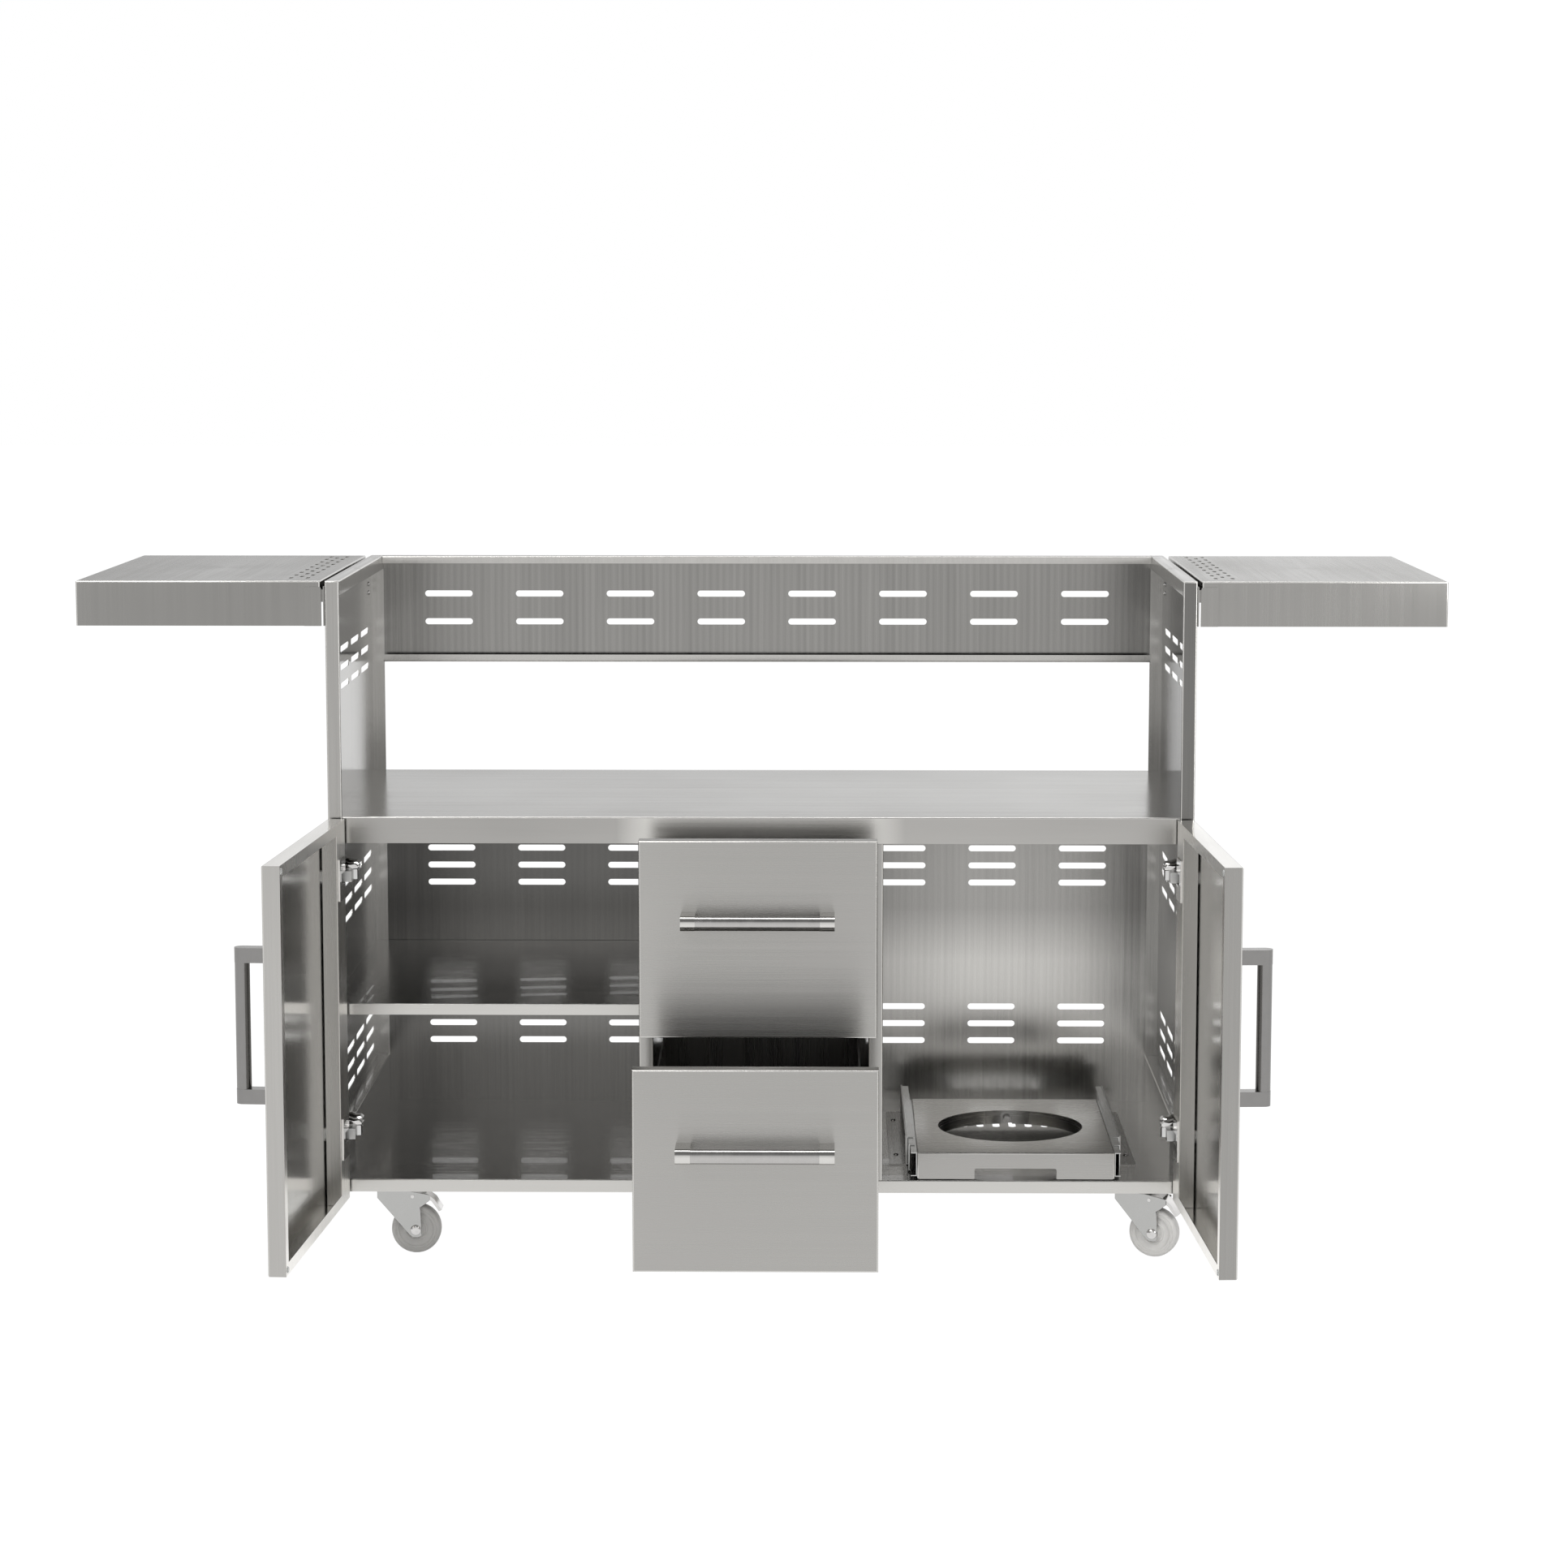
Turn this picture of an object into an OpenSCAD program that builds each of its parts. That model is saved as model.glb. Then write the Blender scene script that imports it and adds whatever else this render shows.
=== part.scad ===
// Grill cart: a folded sheet metal cabinet on casters that carries a built-in grill.
// X runs to the right, Y to the back and Z up. The origin is on the ground, under the
// middle of the box round the cart as it stands, doors and drawers open.

/* [Cabinet] */
// Width of the cabinet across the side panels
body_w = 1200; // [1000:5:1500]
// Depth of the side panels, front to back
body_d = 530; // [480:5:640]
// Height of the side panels' top above the ground
body_h = 959; // [900:1:1180]
// Height of the deck that the grill stands on
deck_h = 632; // [560:1:720]
// Height of the front lip of the deck
deck_lip = 37; // [25:1:50]
// Height of the floor pan's top
pan_h = 119; // [112:1:140]
// Height of the floor pan's front lip
pan_lip = 18; // [16:1:30]
// Height of the middle shelf's top
shelf_h = 369; // [320:1:420]
// Height of the middle shelf's lip
shelf_lip = 16; // [10:1:25]
// Height of the upper back panel
upper_back_h = 160; // [120:1:220]
// Width of the flanges of the side panels
flange = 20; // [16:1:30]
// Depth of the lip under the side panels' top
top_lip = 20; // [12:1:30]
// Distance between the middles of the two dividers
divider_pitch = 320; // [280:5:420]
// Width of a divider's front face
divider_w = 20; // [16:1:26]
// Thickness of the sheet metal
sheet = 1.2; // [0.8:0.1:2]
// Outside radius of the bends
bend_r = 2; // [1.5:0.1:3]

/* [Vent slots] */
// Length of a slot in the back panels
slot_l = 72; // [50:1:90]
// Width of every slot in the panels
slot_w = 9.2; // [6:0.1:12]
// Distance between the slot columns of the back panels
slot_pitch = 137.6; // [110:0.1:145]
// Distance between the slot rows
slot_row = 26.4; // [20:0.1:32]
// Length of a slot in the side panels
side_slot_l = 92; // [60:1:100]
// Distance between the slot columns of the side panels
side_slot_pitch = 118; // [105:1:130]
// Height of the top row of the cabinet's upper slots
high_row_z = 512; // [480:1:540]
// Height of the top row of the cabinet's lower slots
low_row_z = 267; // [250:1:290]

/* [Doors and drawers] */
// Thickness of the door and drawer fronts
front_t = 24; // [20:1:30]
// Gap between a closed front and the cabinet
front_gap = 2.5; // [2:0.1:4]
// Gap between neighbouring fronts
reveal = 2.5; // [2:0.1:4]
// Drop of the fronts below the floor pan's lip
front_drop = 5.4; // [3:0.1:8]
// Angle that the right door stands open at
right_open = 92.5; // [60:0.5:98]
// Angle that the left door stands open at
left_open = 93.5; // [60:0.5:98]
// Width of the door's lip on the hinge side
hinge_lip = 57; // [45:1:70]
// Width of the other lips of the fronts
front_lip = 16; // [10:1:22]
// Distance that the upper drawer stands out
upper_out = 193; // [0:1:400]
// Distance that the lower drawer stands out
lower_out = 391; // [0:1:400]
// Height of the drawer boxes
box_h = 195; // [150:1:215]
// Length of the drawer boxes and of their slides
drawer_l = 450; // [400:5:465]
// Height of a drawer slide
slide_h = 45; // [35:1:50]
// Thickness of a slide
slide_t = 12.7; // [12:0.1:14]

/* [Handles] */
// Overall length of a handle
handle_l = 204; // [160:1:240]
// Diameter of a handle's bar
handle_d = 20; // [14:1:24]
// Distance from the front to the outside of the bar
handle_out = 46; // [40:1:60]
// Distance from a drawer front's top to its handle
drawer_handle_drop = 105; // [80:1:130]
// Height of a door handle's middle
door_handle_z = 416; // [380:1:450]
// Distance from a door's free edge to its handle
door_handle_in = 45; // [35:1:60]

/* [Side shelves] */
// Length of a side shelf, away from the cabinet
side_shelf_l = 337; // [250:1:400]
// Depth of a side shelf, front to back
side_shelf_d = 522; // [440:1:526]
// Height of a side shelf's flanges
side_shelf_h = 62; // [56:1:64]
// Distance from the side panel to the shelf's pivot
pivot_out = 20; // [19:0.5:22]
// Distance from the shelf's lower edge up to its pivot
pivot_up = 9.5; // [8:0.5:10.5]

/* [Tank tray] */
// Width of the tray
tray_w = 277; // [250:1:290]
// Length of the tray
tray_l = 360; // [345:1:370]
// Height of the tray's top
tray_h = 158; // [154:1:165]
// Gap from the right divider to the bracket of the tray's slide
tray_gap = 11.8; // [5:0.1:16]
// Radius of the hole for the tank's foot ring
tank_r = 104; // [95:1:110]
// Length of the tray's slides
tray_slide_l = 350; // [320:5:355]
// Distance that the tray stands out of its slides at rest
tray_out = 86; // [0:1:88]

/* [Casters] */
// Diameter of the caster wheels
wheel_d = 70; // [60:1:72]
// Width of the caster wheels
wheel_w = 24; // [18:1:26]
// Distance from a caster's kingpin to its axle, level
caster_trail = 34; // [26:1:38]
// Distance from the cabinet's middle to the kingpins
caster_x = 524; // [400:1:540]
// Distance from the cabinet's front to the kingpins
caster_y = 60; // [50:1:80]

/* [Hidden] */
// Clearance of a running fit, on the radius
run_gap = 0.05;
// Gap between pieces that pass each other
pass_gap = 0.4;
// Small overreach that makes a cut clean
eps = 0.5;
half_w = body_w / 2;
inner_x = half_w - sheet;
flange_x = half_w - flange;
panel_fit = 0.3;
pan_bottom = pan_h - pan_lip;
fronts_top = deck_h - 2;
fronts_bottom = pan_bottom - front_drop;
front_face = -front_gap - front_t;
div_x = divider_pitch / 2;
div_low = pan_h;
back_z0 = pan_bottom;
upper_back_z = body_h - upper_back_h;
slot_x0 = -3.5 * slot_pitch;
side_slot_y = body_d / 2 + 53.5;
upper_slot_drop = 58;
upper_row = 42.3;
side_high_row_z = 850;

// Door hinges: the pivot's place in the door, and the arm that reaches it
pivot_in = 8;
pivot_deep = front_t - 8;
pivot_x = half_w - pivot_in;
pivot_y = -front_gap - pivot_deep;
hinge_pin_r = 2;
hinge_barrel_r = 4.5;
arm_t = 4;
arm_half_h = 7.5;
arm_reach = 26.5;
arm_back = 52;
ear_t = 2;
ear_gap = 0.5;
hinge_plate_t = 2;
hinge_plate_half_h = 29;
hinge_z = [551, 188];
door_l = half_w - div_x - reveal / 2;
door_h = fronts_top - fronts_bottom;

// Drawers
front_h = (door_h - 3) / 2;
drawer_front_w = divider_pitch - reveal;
bay_in = div_x - divider_w / 2;
drawer_box_w = 2 * (bay_in - slide_t);
upper_z = fronts_top - front_h;
lower_z = fronts_bottom;
box_rise = 25;
slide_rise = 70;
slide_y = 5;

// Members of a slide, as gaps from the face that carries the outer one
member_gap = 0.8;
member_t = 1.2;

// Side shelves and their brackets
shelf_top_z = body_h;
shelf_gap = 6;
shelf_y0 = 0;
shelf_z0 = shelf_top_z - side_shelf_h;
shelf_inner_lip = 20;
bracket_t = 2.5;
bracket_h = 54;
bracket_plate_t = 2;
pin_r = 4;
pin_skin = 0.7;
shelf_pivot_x = half_w + pivot_out;
shelf_pivot_z = shelf_z0 + pivot_up;

// Tank tray
tray_front = 3;
tray_bracket_w = 24;
tray_x = div_x + divider_w / 2 + tray_gap + tray_bracket_w + slide_t + tray_w / 2;
tray_flange = tray_h - pan_h - 1.5;
tray_slide_h = 40;
tray_slide_z = pan_h + 1.5 + tray_slide_h / 2;
tray_slide_y = tray_front + 4 + tray_out;
collar_h = 20;
collar_t = 1.5;
vent_l = 90;
vent_w = 10.5;
vent_pitch = 24;
vent_y = 392;

// Casters: x, y, the way that the wheel trails, and whether there is a brake
wheel_r = wheel_d / 2;
caster_rows = [
    [-caster_x, caster_y, 0],
    [caster_x, caster_y, -20],
    [-caster_x, body_d - caster_y, 25],
    [caster_x, body_d - caster_y, 10],
];
caster_top = pan_bottom;
caster_plate_t = 3;
race_r = 21;
race_h = 6;
kingpin_r = 5;
fork_t = 2.2;
fork_top = caster_top - caster_plate_t - race_h - 0.5;
fork_half = wheel_w / 2 + 2.5;
axle_r = 4;

// Middle of the box round the cart: the lower handle is in front, the back panel behind
front_most = front_face - lower_out - handle_out;
y_mid = (front_most + body_d + sheet) / 2;

steel = "silver";
bright = "gainsboro";

// Points of an arc about c, from angle a to angle b
function arc(c, r, a, b, n = 5) =
    [for (i = [0:n]) c + r * [cos(a + (b - a) * i / n), sin(a + (b - a) * i / n)]];

// A rectangle whose four corners, from the low left one round, have their own radii
function soft_rect(p, q, r) = concat(
    r[0] > 0 ? arc([p.x + r[0], p.y + r[0]], r[0], 180, 270) : [p],
    r[1] > 0 ? arc([q.x - r[1], p.y + r[1]], r[1], 270, 360) : [[q.x, p.y]],
    r[2] > 0 ? arc([q.x - r[2], q.y - r[2]], r[2], 0, 90) : [q],
    r[3] > 0 ? arc([p.x + r[3], q.y - r[3]], r[3], 90, 180) : [[p.x, q.y]]
);

module block(p, q) {
    translate(p) cube(q - p);
}

// A profile in Y and Z, drawn along X
module along_x(x0, x1) {
    translate([x0, 0, 0]) rotate([90, 0, 90]) linear_extrude(x1 - x0) children();
}

// A profile in X and Z, drawn along Y
module along_y(y0, y1) {
    translate([0, y1, 0]) rotate([90, 0, 0]) linear_extrude(y1 - y0) children();
}

// A profile in X and Y, drawn along Z
module along_z(z0, z1) {
    translate([0, 0, z0]) linear_extrude(z1 - z0) children();
}

// A cylinder between two heights along Y
module rod_y(x, z, y0, y1, r) {
    translate([x, y1, z]) rotate([90, 0, 0]) cylinder(h = y1 - y0, r = r, $fn = 48);
}

// A block whose front face, the one with the least Y, has bent edges all round
module front_slab(p, q, r = bend_r) {
    intersection() {
        along_x(p.x, q.x) polygon(soft_rect([p.y, p.z], [q.y, q.z], [r, 0, 0, r]));
        along_z(p.z, q.z) polygon(soft_rect([p.x, p.y], [q.x, q.y], [r, r, 0, 0]));
    }
}

// A slot through a sheet that faces Y, its length along X
module slot_y(x, z, y0, y1, l = slot_l, w = slot_w) {
    block([x - (l - w) / 2, y0, z - w / 2], [x + (l - w) / 2, y1, z + w / 2]);
    for (s = [-1, 1]) rod_y(x + s * (l - w) / 2, z, y0, y1, w / 2);
}

// A slot through a sheet that faces X, its length along Y
module slot_x(y, z, x0, x1, l = side_slot_l, w = slot_w) {
    block([x0, y - (l - w) / 2, z - w / 2], [x1, y + (l - w) / 2, z + w / 2]);
    for (s = [-1, 1])
        translate([x0, y + s * (l - w) / 2, z]) rotate([0, 90, 0])
            cylinder(h = x1 - x0, r = w / 2, $fn = 48);
}

// Three rows of three slots in a side panel, below the height of the top row
module side_slots(top_z) {
    for (row = [0:2], col = [-1:1])
        slot_x(side_slot_y + col * side_slot_pitch, top_z - row * slot_row,
            inner_x - eps, half_w + eps);
}

// Rows of slots across a back panel
module back_slots(top_z, rows, pitch) {
    for (row = [0:rows - 1], col = [0:7])
        slot_y(slot_x0 + col * slot_pitch, top_z - row * pitch,
            body_d - eps, body_d + sheet + eps);
}

// The right side panel's sheet, flanges and top channel
module side_panel() {
    hook_w = 2.5;
    difference() {
        intersection() {
            along_z(pan_bottom, body_h)
                polygon(soft_rect([flange_x, 0], [half_w, body_d], [bend_r, bend_r, bend_r, bend_r]));
            along_y(0, body_d)
                polygon(soft_rect([flange_x, pan_bottom], [half_w, body_h], [0, 0, bend_r, bend_r]));
            along_x(flange_x, half_w)
                polygon(soft_rect([0, pan_bottom], [body_d, body_h], [0, 0, bend_r, bend_r]));
        }
        // the open inner side, below the lip
        block([flange_x - eps, sheet, pan_bottom - eps],
            [inner_x, body_d - sheet, body_h - top_lip]);
        // the space behind the lip
        block([flange_x + sheet, sheet, pan_bottom], [inner_x, body_d - sheet, body_h - sheet]);
        for (z = [side_high_row_z, high_row_z, low_row_z]) side_slots(z);
        // two hooks' notches in the top and its lip
        for (y = [247, 467])
            block([flange_x - eps, y - hook_w / 2, body_h - 14],
                [flange_x + 10, y + hook_w / 2, body_h + eps]);
    }
}

// Two pairs of keyholes that only the right panel has
module keyholes() {
    keyhole_y = body_d - 134;
    for (z = [771, 710], y = [keyhole_y - 25, keyhole_y + 25]) {
        translate([inner_x - eps, y, z]) rotate([0, 90, 0]) {
            for (s = [-2.5, 2.5]) translate([s, 0, 0]) cylinder(h = sheet + 2 * eps, r = 3, $fn = 32);
            translate([-2.5, -3, 0]) cube([5, 6, sheet + 2 * eps]);
            translate([12, 0, 0]) cylinder(h = sheet + 2 * eps, r = 2.5, $fn = 32);
        }
    }
}

module right_side_panel() {
    color(steel) difference() {
        side_panel();
        keyholes();
    }
}

module left_side_panel() {
    color(steel) mirror([1, 0, 0]) side_panel();
}

// A channel along X: the sheet goes forward from the back panel, then turns up or down
module upper_back_panel() {
    fold = 20;
    lip = 11;
    x1 = flange_x - panel_fit;
    color(steel) difference() {
        union() {
            block([-half_w + bend_r, body_d, upper_back_z], [half_w - bend_r, body_d + sheet, body_h]);
            difference() {
                along_x(-x1, x1) polygon(soft_rect([body_d - fold, upper_back_z],
                    [body_d + sheet, body_h], [bend_r, 0, 0, bend_r]));
                block([-x1 - eps, body_d - fold + sheet, upper_back_z + sheet],
                    [x1 + eps, body_d, body_h - sheet]);
                block([-x1 - eps, body_d - fold - eps, upper_back_z + lip],
                    [x1 + eps, body_d, body_h - lip]);
            }
        }
        back_slots(body_h - upper_slot_drop, 2, upper_row);
    }
}

module lower_back_panel() {
    color(steel) difference() {
        block([-half_w + bend_r, body_d, back_z0], [half_w - bend_r, body_d + sheet, deck_h - 1]);
        back_slots(high_row_z, 3, slot_row);
        back_slots(low_row_z, 3, slot_row);
    }
}

// A sheet between the side panels, with a front lip between their flanges
module tray_sheet(x0, x1, notch0, notch1, top, lip, back_lip) {
    y1 = body_d - sheet;
    block([x0, sheet + panel_fit, top - sheet], [x1, y1, top]);
    along_x(x0 + notch0, x1 - notch1) difference() {
        polygon(soft_rect([0, top - lip], [body_d, top], [0, 0, 0, bend_r]));
        polygon([[sheet, top - lip - eps], [body_d - sheet, top - lip - eps],
            [body_d - sheet, top - sheet], [sheet, top - sheet]]);
        polygon([[sheet + eps, top - lip - eps], [body_d + eps, top - lip - eps],
            [body_d + eps, top - back_lip], [sheet + eps, top - back_lip]]);
    }
}

module deck() {
    notch = flange + panel_fit - sheet;
    color(bright) tray_sheet(-inner_x, inner_x, notch, notch, deck_h, deck_lip, 20);
}

module floor_pan() {
    notch = flange + panel_fit - sheet;
    upstand_h = 72;
    upstand_y = 95;
    color(steel) difference() {
        union() {
            tray_sheet(-inner_x, inner_x, notch, notch, pan_h, pan_lip, pan_lip);
            // upstands that stiffen the foot of each side panel
            for (s = [0, 1]) mirror([s, 0, 0]) difference() {
                along_y(upstand_y, body_d - sheet) polygon(soft_rect([flange_x, pan_h - sheet],
                    [inner_x, pan_h + upstand_h], [0, 0, 0, bend_r]));
                block([flange_x + sheet, upstand_y - eps, pan_h - 2 * sheet],
                    [inner_x + eps, body_d, pan_h + upstand_h - sheet]);
            }
        }
        // six vents behind the tank tray
        for (i = [0:5]) {
            x = tray_x + (i - 2.5) * vent_pitch;
            translate([x, 0, pan_h - 2 * sheet]) {
                translate([-vent_w / 2, vent_y - (vent_l - vent_w) / 2, 0])
                    cube([vent_w, vent_l - vent_w, 3 * sheet]);
                for (s = [-1, 1]) translate([0, vent_y + s * (vent_l - vent_w) / 2, 0])
                    cylinder(h = 3 * sheet, r = vent_w / 2, $fn = 32);
            }
        }
    }
}

// A box of folded sheet, open behind, notched under the deck's lip
module divider(x) {
    lip_z = deck_h - deck_lip - panel_fit;
    top_z = deck_h - sheet;
    back_y = body_d - sheet - panel_fit;
    difference() {
        along_z(div_low, top_z) polygon(soft_rect([x - divider_w / 2, 0],
            [x + divider_w / 2, back_y], [bend_r, bend_r, 0, 0]));
        block([x - divider_w / 2 + sheet, sheet, div_low - eps],
            [x + divider_w / 2 - sheet, back_y + eps, top_z + eps]);
        block([x - divider_w, -eps, lip_z], [x + divider_w, sheet + panel_fit, top_z + eps]);
    }
}

module left_divider() {
    color(steel) divider(-div_x);
}

module right_divider() {
    color(steel) divider(div_x);
}

module middle_shelf() {
    x0 = -inner_x;
    x1 = -div_x - divider_w / 2;
    front_y = 2;
    back_y = body_d - sheet - panel_fit;
    color(steel) difference() {
        union() {
            along_x(-flange_x + panel_fit, x1) polygon(soft_rect([front_y, shelf_h - shelf_lip],
                [back_y, shelf_h], [0, 0, 0, bend_r]));
            block([x0, front_y + bend_r, shelf_h - shelf_lip], [x1, back_y, shelf_h]);
        }
        block([x0 + sheet, front_y + sheet, shelf_h - shelf_lip - eps],
            [x1 - sheet, back_y - sheet, shelf_h - sheet]);
    }
}

// Channels under the floor pan that the casters bolt to
module caster_rails() {
    rail_w = 70;
    rail_y = 4;
    color(steel) for (x = [-caster_x, caster_x]) difference() {
        block([x - rail_w / 2, rail_y, pan_bottom], [x + rail_w / 2, body_d - rail_y, pan_h - sheet]);
        block([x - rail_w / 2 + sheet, rail_y - eps, pan_bottom + sheet],
            [x + rail_w / 2 - sheet, body_d, pan_h]);
    }
}

// The front end of a side shelf, or the same mirrored to its back end
module at_shelf_end(end) {
    translate([0, end * (2 * shelf_y0 + side_shelf_d), 0]) mirror([0, end, 0]) children();
}

// The fixed half of a side shelf's hinge, on the right: a plate on the panel, and an arm
// outside each flange of the shelf
module shelf_bracket() {
    arm_x0 = half_w + shelf_gap - 0.5 - sheet;
    arm_x1 = shelf_pivot_x + pin_r + 4.5;
    arm_y1 = shelf_y0 - pass_gap;
    arm_y0 = arm_y1 - bracket_t;
    neck_y = shelf_y0 + 0.6;
    neck_l = 5.4;
    neck_z = shelf_z0 + 33;
    z1 = shelf_z0 + bracket_h;
    block([half_w, shelf_y0, shelf_z0], [half_w + bracket_plate_t, shelf_y0 + side_shelf_d, z1]);
    for (end = [0, 1]) at_shelf_end(end) {
        difference() {
            along_y(arm_y0, arm_y1) polygon(soft_rect([arm_x0, shelf_z0], [arm_x1, z1], [0, 1, 2, 4]));
            rod_y(shelf_pivot_x, shelf_pivot_z, arm_y0 + pin_skin, arm_y1 + eps, pin_r + run_gap);
        }
        // the arm folds back between the shelf and the panel, where a neck joins it to the plate
        block([arm_x0, arm_y0 + 1, neck_z], [arm_x0 + sheet, neck_y + neck_l, z1 - 4]);
        block([half_w + bracket_plate_t / 2, neck_y, neck_z], [arm_x0 + sheet, neck_y + neck_l, z1 - 4]);
    }
}

module shelf_brackets() {
    color(steel) for (s = [0, 1]) mirror([s, 0, 0]) shelf_bracket();
}

// The pins run in from the arms, through the shelf's flanges, to a clip
module shelf_pivot_pins() {
    pin_y = shelf_y0 - pass_gap - bracket_t + pin_skin;
    clip_y = shelf_y0 + sheet + pass_gap;
    clip_t = 1.5;
    color(bright) for (s = [0, 1], end = [0, 1]) mirror([s, 0, 0]) at_shelf_end(end) {
        rod_y(shelf_pivot_x, shelf_pivot_z, pin_y, clip_y + 2 * clip_t, pin_r);
        rod_y(shelf_pivot_x, shelf_pivot_z, clip_y, clip_y + clip_t, pin_r + 2.5);
    }
}

// A side shelf, on the right: a pan whose flanges turn on the pins
module side_shelf() {
    x0 = half_w + shelf_gap;
    x1 = x0 + side_shelf_l;
    y1 = shelf_y0 + side_shelf_d;
    difference() {
        intersection() {
            along_x(x0, x1) polygon(soft_rect([shelf_y0, shelf_z0], [y1, shelf_top_z],
                [0, 0, bend_r, bend_r]));
            along_z(shelf_z0, shelf_top_z) polygon(soft_rect([x0, shelf_y0], [x1, y1],
                [bend_r, bend_r, bend_r, bend_r]));
            along_y(shelf_y0, y1) polygon(soft_rect([x0, shelf_z0], [x1, shelf_top_z],
                [0, 0, bend_r, bend_r]));
        }
        block([x0 + sheet, shelf_y0 + sheet, shelf_z0 - eps], [x1 - sheet, y1 - sheet, shelf_top_z - sheet]);
        // the inner end keeps a short lip
        block([x0 - eps, shelf_y0 + bend_r, shelf_z0 - eps],
            [x0 + sheet + eps, y1 - bend_r, shelf_top_z - shelf_inner_lip]);
        rod_y(shelf_pivot_x, shelf_pivot_z, shelf_y0 - eps, y1 + eps, pin_r + run_gap);
        side_shelf_vents();
    }
}

// Three staggered lines of short slots near the inner edge
module side_shelf_vents() {
    pitch = (side_shelf_d - 90) / 8;
    hole_l = 20;
    hole_w = 5;
    line_pitch = 11.7;
    mid_y = shelf_y0 + side_shelf_d / 2 + 12;
    for (line = [0:2]) {
        count = line == 1 ? 8 : 9;
        x = half_w + shelf_gap + 24 + line * line_pitch;
        for (i = [0:count - 1]) {
            y = mid_y + (i - (count - 1) / 2) * pitch;
            translate([x, y, shelf_top_z - sheet - eps]) {
                for (s = [-1, 1]) translate([0, s * (hole_l - hole_w) / 2, 0])
                    cylinder(h = sheet + 2 * eps, r = hole_w / 2, $fn = 16);
                translate([-hole_w / 2, -(hole_l - hole_w) / 2, 0])
                    cube([hole_w, hole_l - hole_w, sheet + 2 * eps]);
            }
        }
    }
}

module right_side_shelf() {
    color(steel) side_shelf();
}

module left_side_shelf() {
    color(steel) mirror([1, 0, 0]) side_shelf();
}

// A channel with its web at x0, its flanges towards x1, between two heights
module channel(x0, x1, half_h, y0, y1, z) {
    s = x1 > x0 ? 1 : -1;
    union() {
        block([min(x0, x0 + s * member_t), y0, z - half_h], [max(x0, x0 + s * member_t), y1, z + half_h]);
        for (side = [-1, 1])
            block([min(x0, x1), y0, z + side * half_h - (side > 0 ? member_t : 0)],
                [max(x0, x1), y1, z + side * half_h + (side > 0 ? 0 : member_t)]);
    }
}

// Outer, middle and inner members of a slide whose outer face is at x and opens along s
module slide_outer(x, s, h, y0, l, z) {
    channel(x, x + s * 9.5, h / 2, y0, y0 + l, z);
}

module slide_middle(x, s, h, y0, l, z) {
    x0 = x + s * (member_t + member_gap);
    channel(x0, x + s * 10.5, h / 2 - member_t - pass_gap, y0, y0 + l, z);
}

module slide_inner(x, s, h, y0, l, z) {
    x0 = x + s * slide_t;
    channel(x0, x + s * 4.2, h / 2 - 2 * member_t - 2 * pass_gap, y0, y0 + l, z);
}

module drawer_outer_slides(z) {
    for (s = [-1, 1]) slide_outer(-s * bay_in, s, slide_h, slide_y, drawer_l, z + slide_rise);
}

tray_slide_x = tray_w / 2 + slide_t;

module slide_outer_members() {
    color(bright) {
        for (z = [upper_z, lower_z]) drawer_outer_slides(z);
        for (s = [-1, 1]) slide_outer(tray_x - s * tray_slide_x, s, tray_slide_h,
            tray_slide_y, tray_slide_l, tray_slide_z);
    }
}

// Angles on the floor that carry the tray's slides
module tray_brackets() {
    metal = 2;
    color(steel) for (s = [-1, 1]) translate([tray_x, 0, 0]) mirror([s > 0 ? 1 : 0, 0, 0])
        along_y(tray_slide_y, tray_slide_y + tray_slide_l) difference() {
            polygon(soft_rect([tray_slide_x, pan_h],
                [tray_slide_x + tray_bracket_w, tray_slide_z + tray_slide_h / 2 + 2], [0, 0, 0, 0]));
            polygon([[tray_slide_x + metal, pan_h + metal],
                [tray_slide_x + tray_bracket_w + eps, pan_h + metal],
                [tray_slide_x + tray_bracket_w + eps, tray_h + 40], [tray_slide_x + metal, tray_h + 40]]);
        }
}

// The arm of a right-hand door hinge, fixed to the side panel
module hinge_arm(z) {
    plate_t = 3;
    plate_l = 50;
    wall_x = inner_x;
    foot_y = pivot_y + arm_back;
    difference() {
        union() {
            translate([pivot_x, pivot_y, z - arm_half_h])
                cylinder(h = 2 * arm_half_h, r = hinge_barrel_r, $fn = 48);
            along_z(z - arm_half_h, z + arm_half_h) polygon([
                [pivot_x, pivot_y - arm_t / 2],
                [pivot_x - arm_reach, pivot_y - arm_t / 2],
                [pivot_x - arm_reach, foot_y + 22],
                [pivot_x - arm_reach + 6, foot_y + 28],
                [wall_x - plate_t, foot_y + 28],
                [wall_x - plate_t, foot_y - 6],
                [pivot_x - arm_reach + 14, foot_y - 6],
                [pivot_x - arm_reach + 6, foot_y - 14],
                [pivot_x - arm_reach + 6, pivot_y + arm_t / 2],
                [pivot_x, pivot_y + arm_t / 2]
            ]);
            block([wall_x - plate_t, foot_y - 10, z - 20], [wall_x, foot_y - 10 + plate_l, z + 20]);
        }
        translate([pivot_x, pivot_y, z - arm_half_h - eps])
            cylinder(h = 2 * arm_half_h + 2 * eps, r = hinge_pin_r + run_gap, $fn = 48);
    }
}

module hinge_arms() {
    color("whitesmoke") for (s = [0, 1], z = hinge_z) mirror([s, 0, 0]) hinge_arm(z);
}

// Turns a right-hand door, drawn closed, to where it stands
module open_door(angle) {
    translate([pivot_x, pivot_y, 0]) rotate([0, 0, angle]) translate([-pivot_x, -pivot_y, 0]) children();
}

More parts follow.
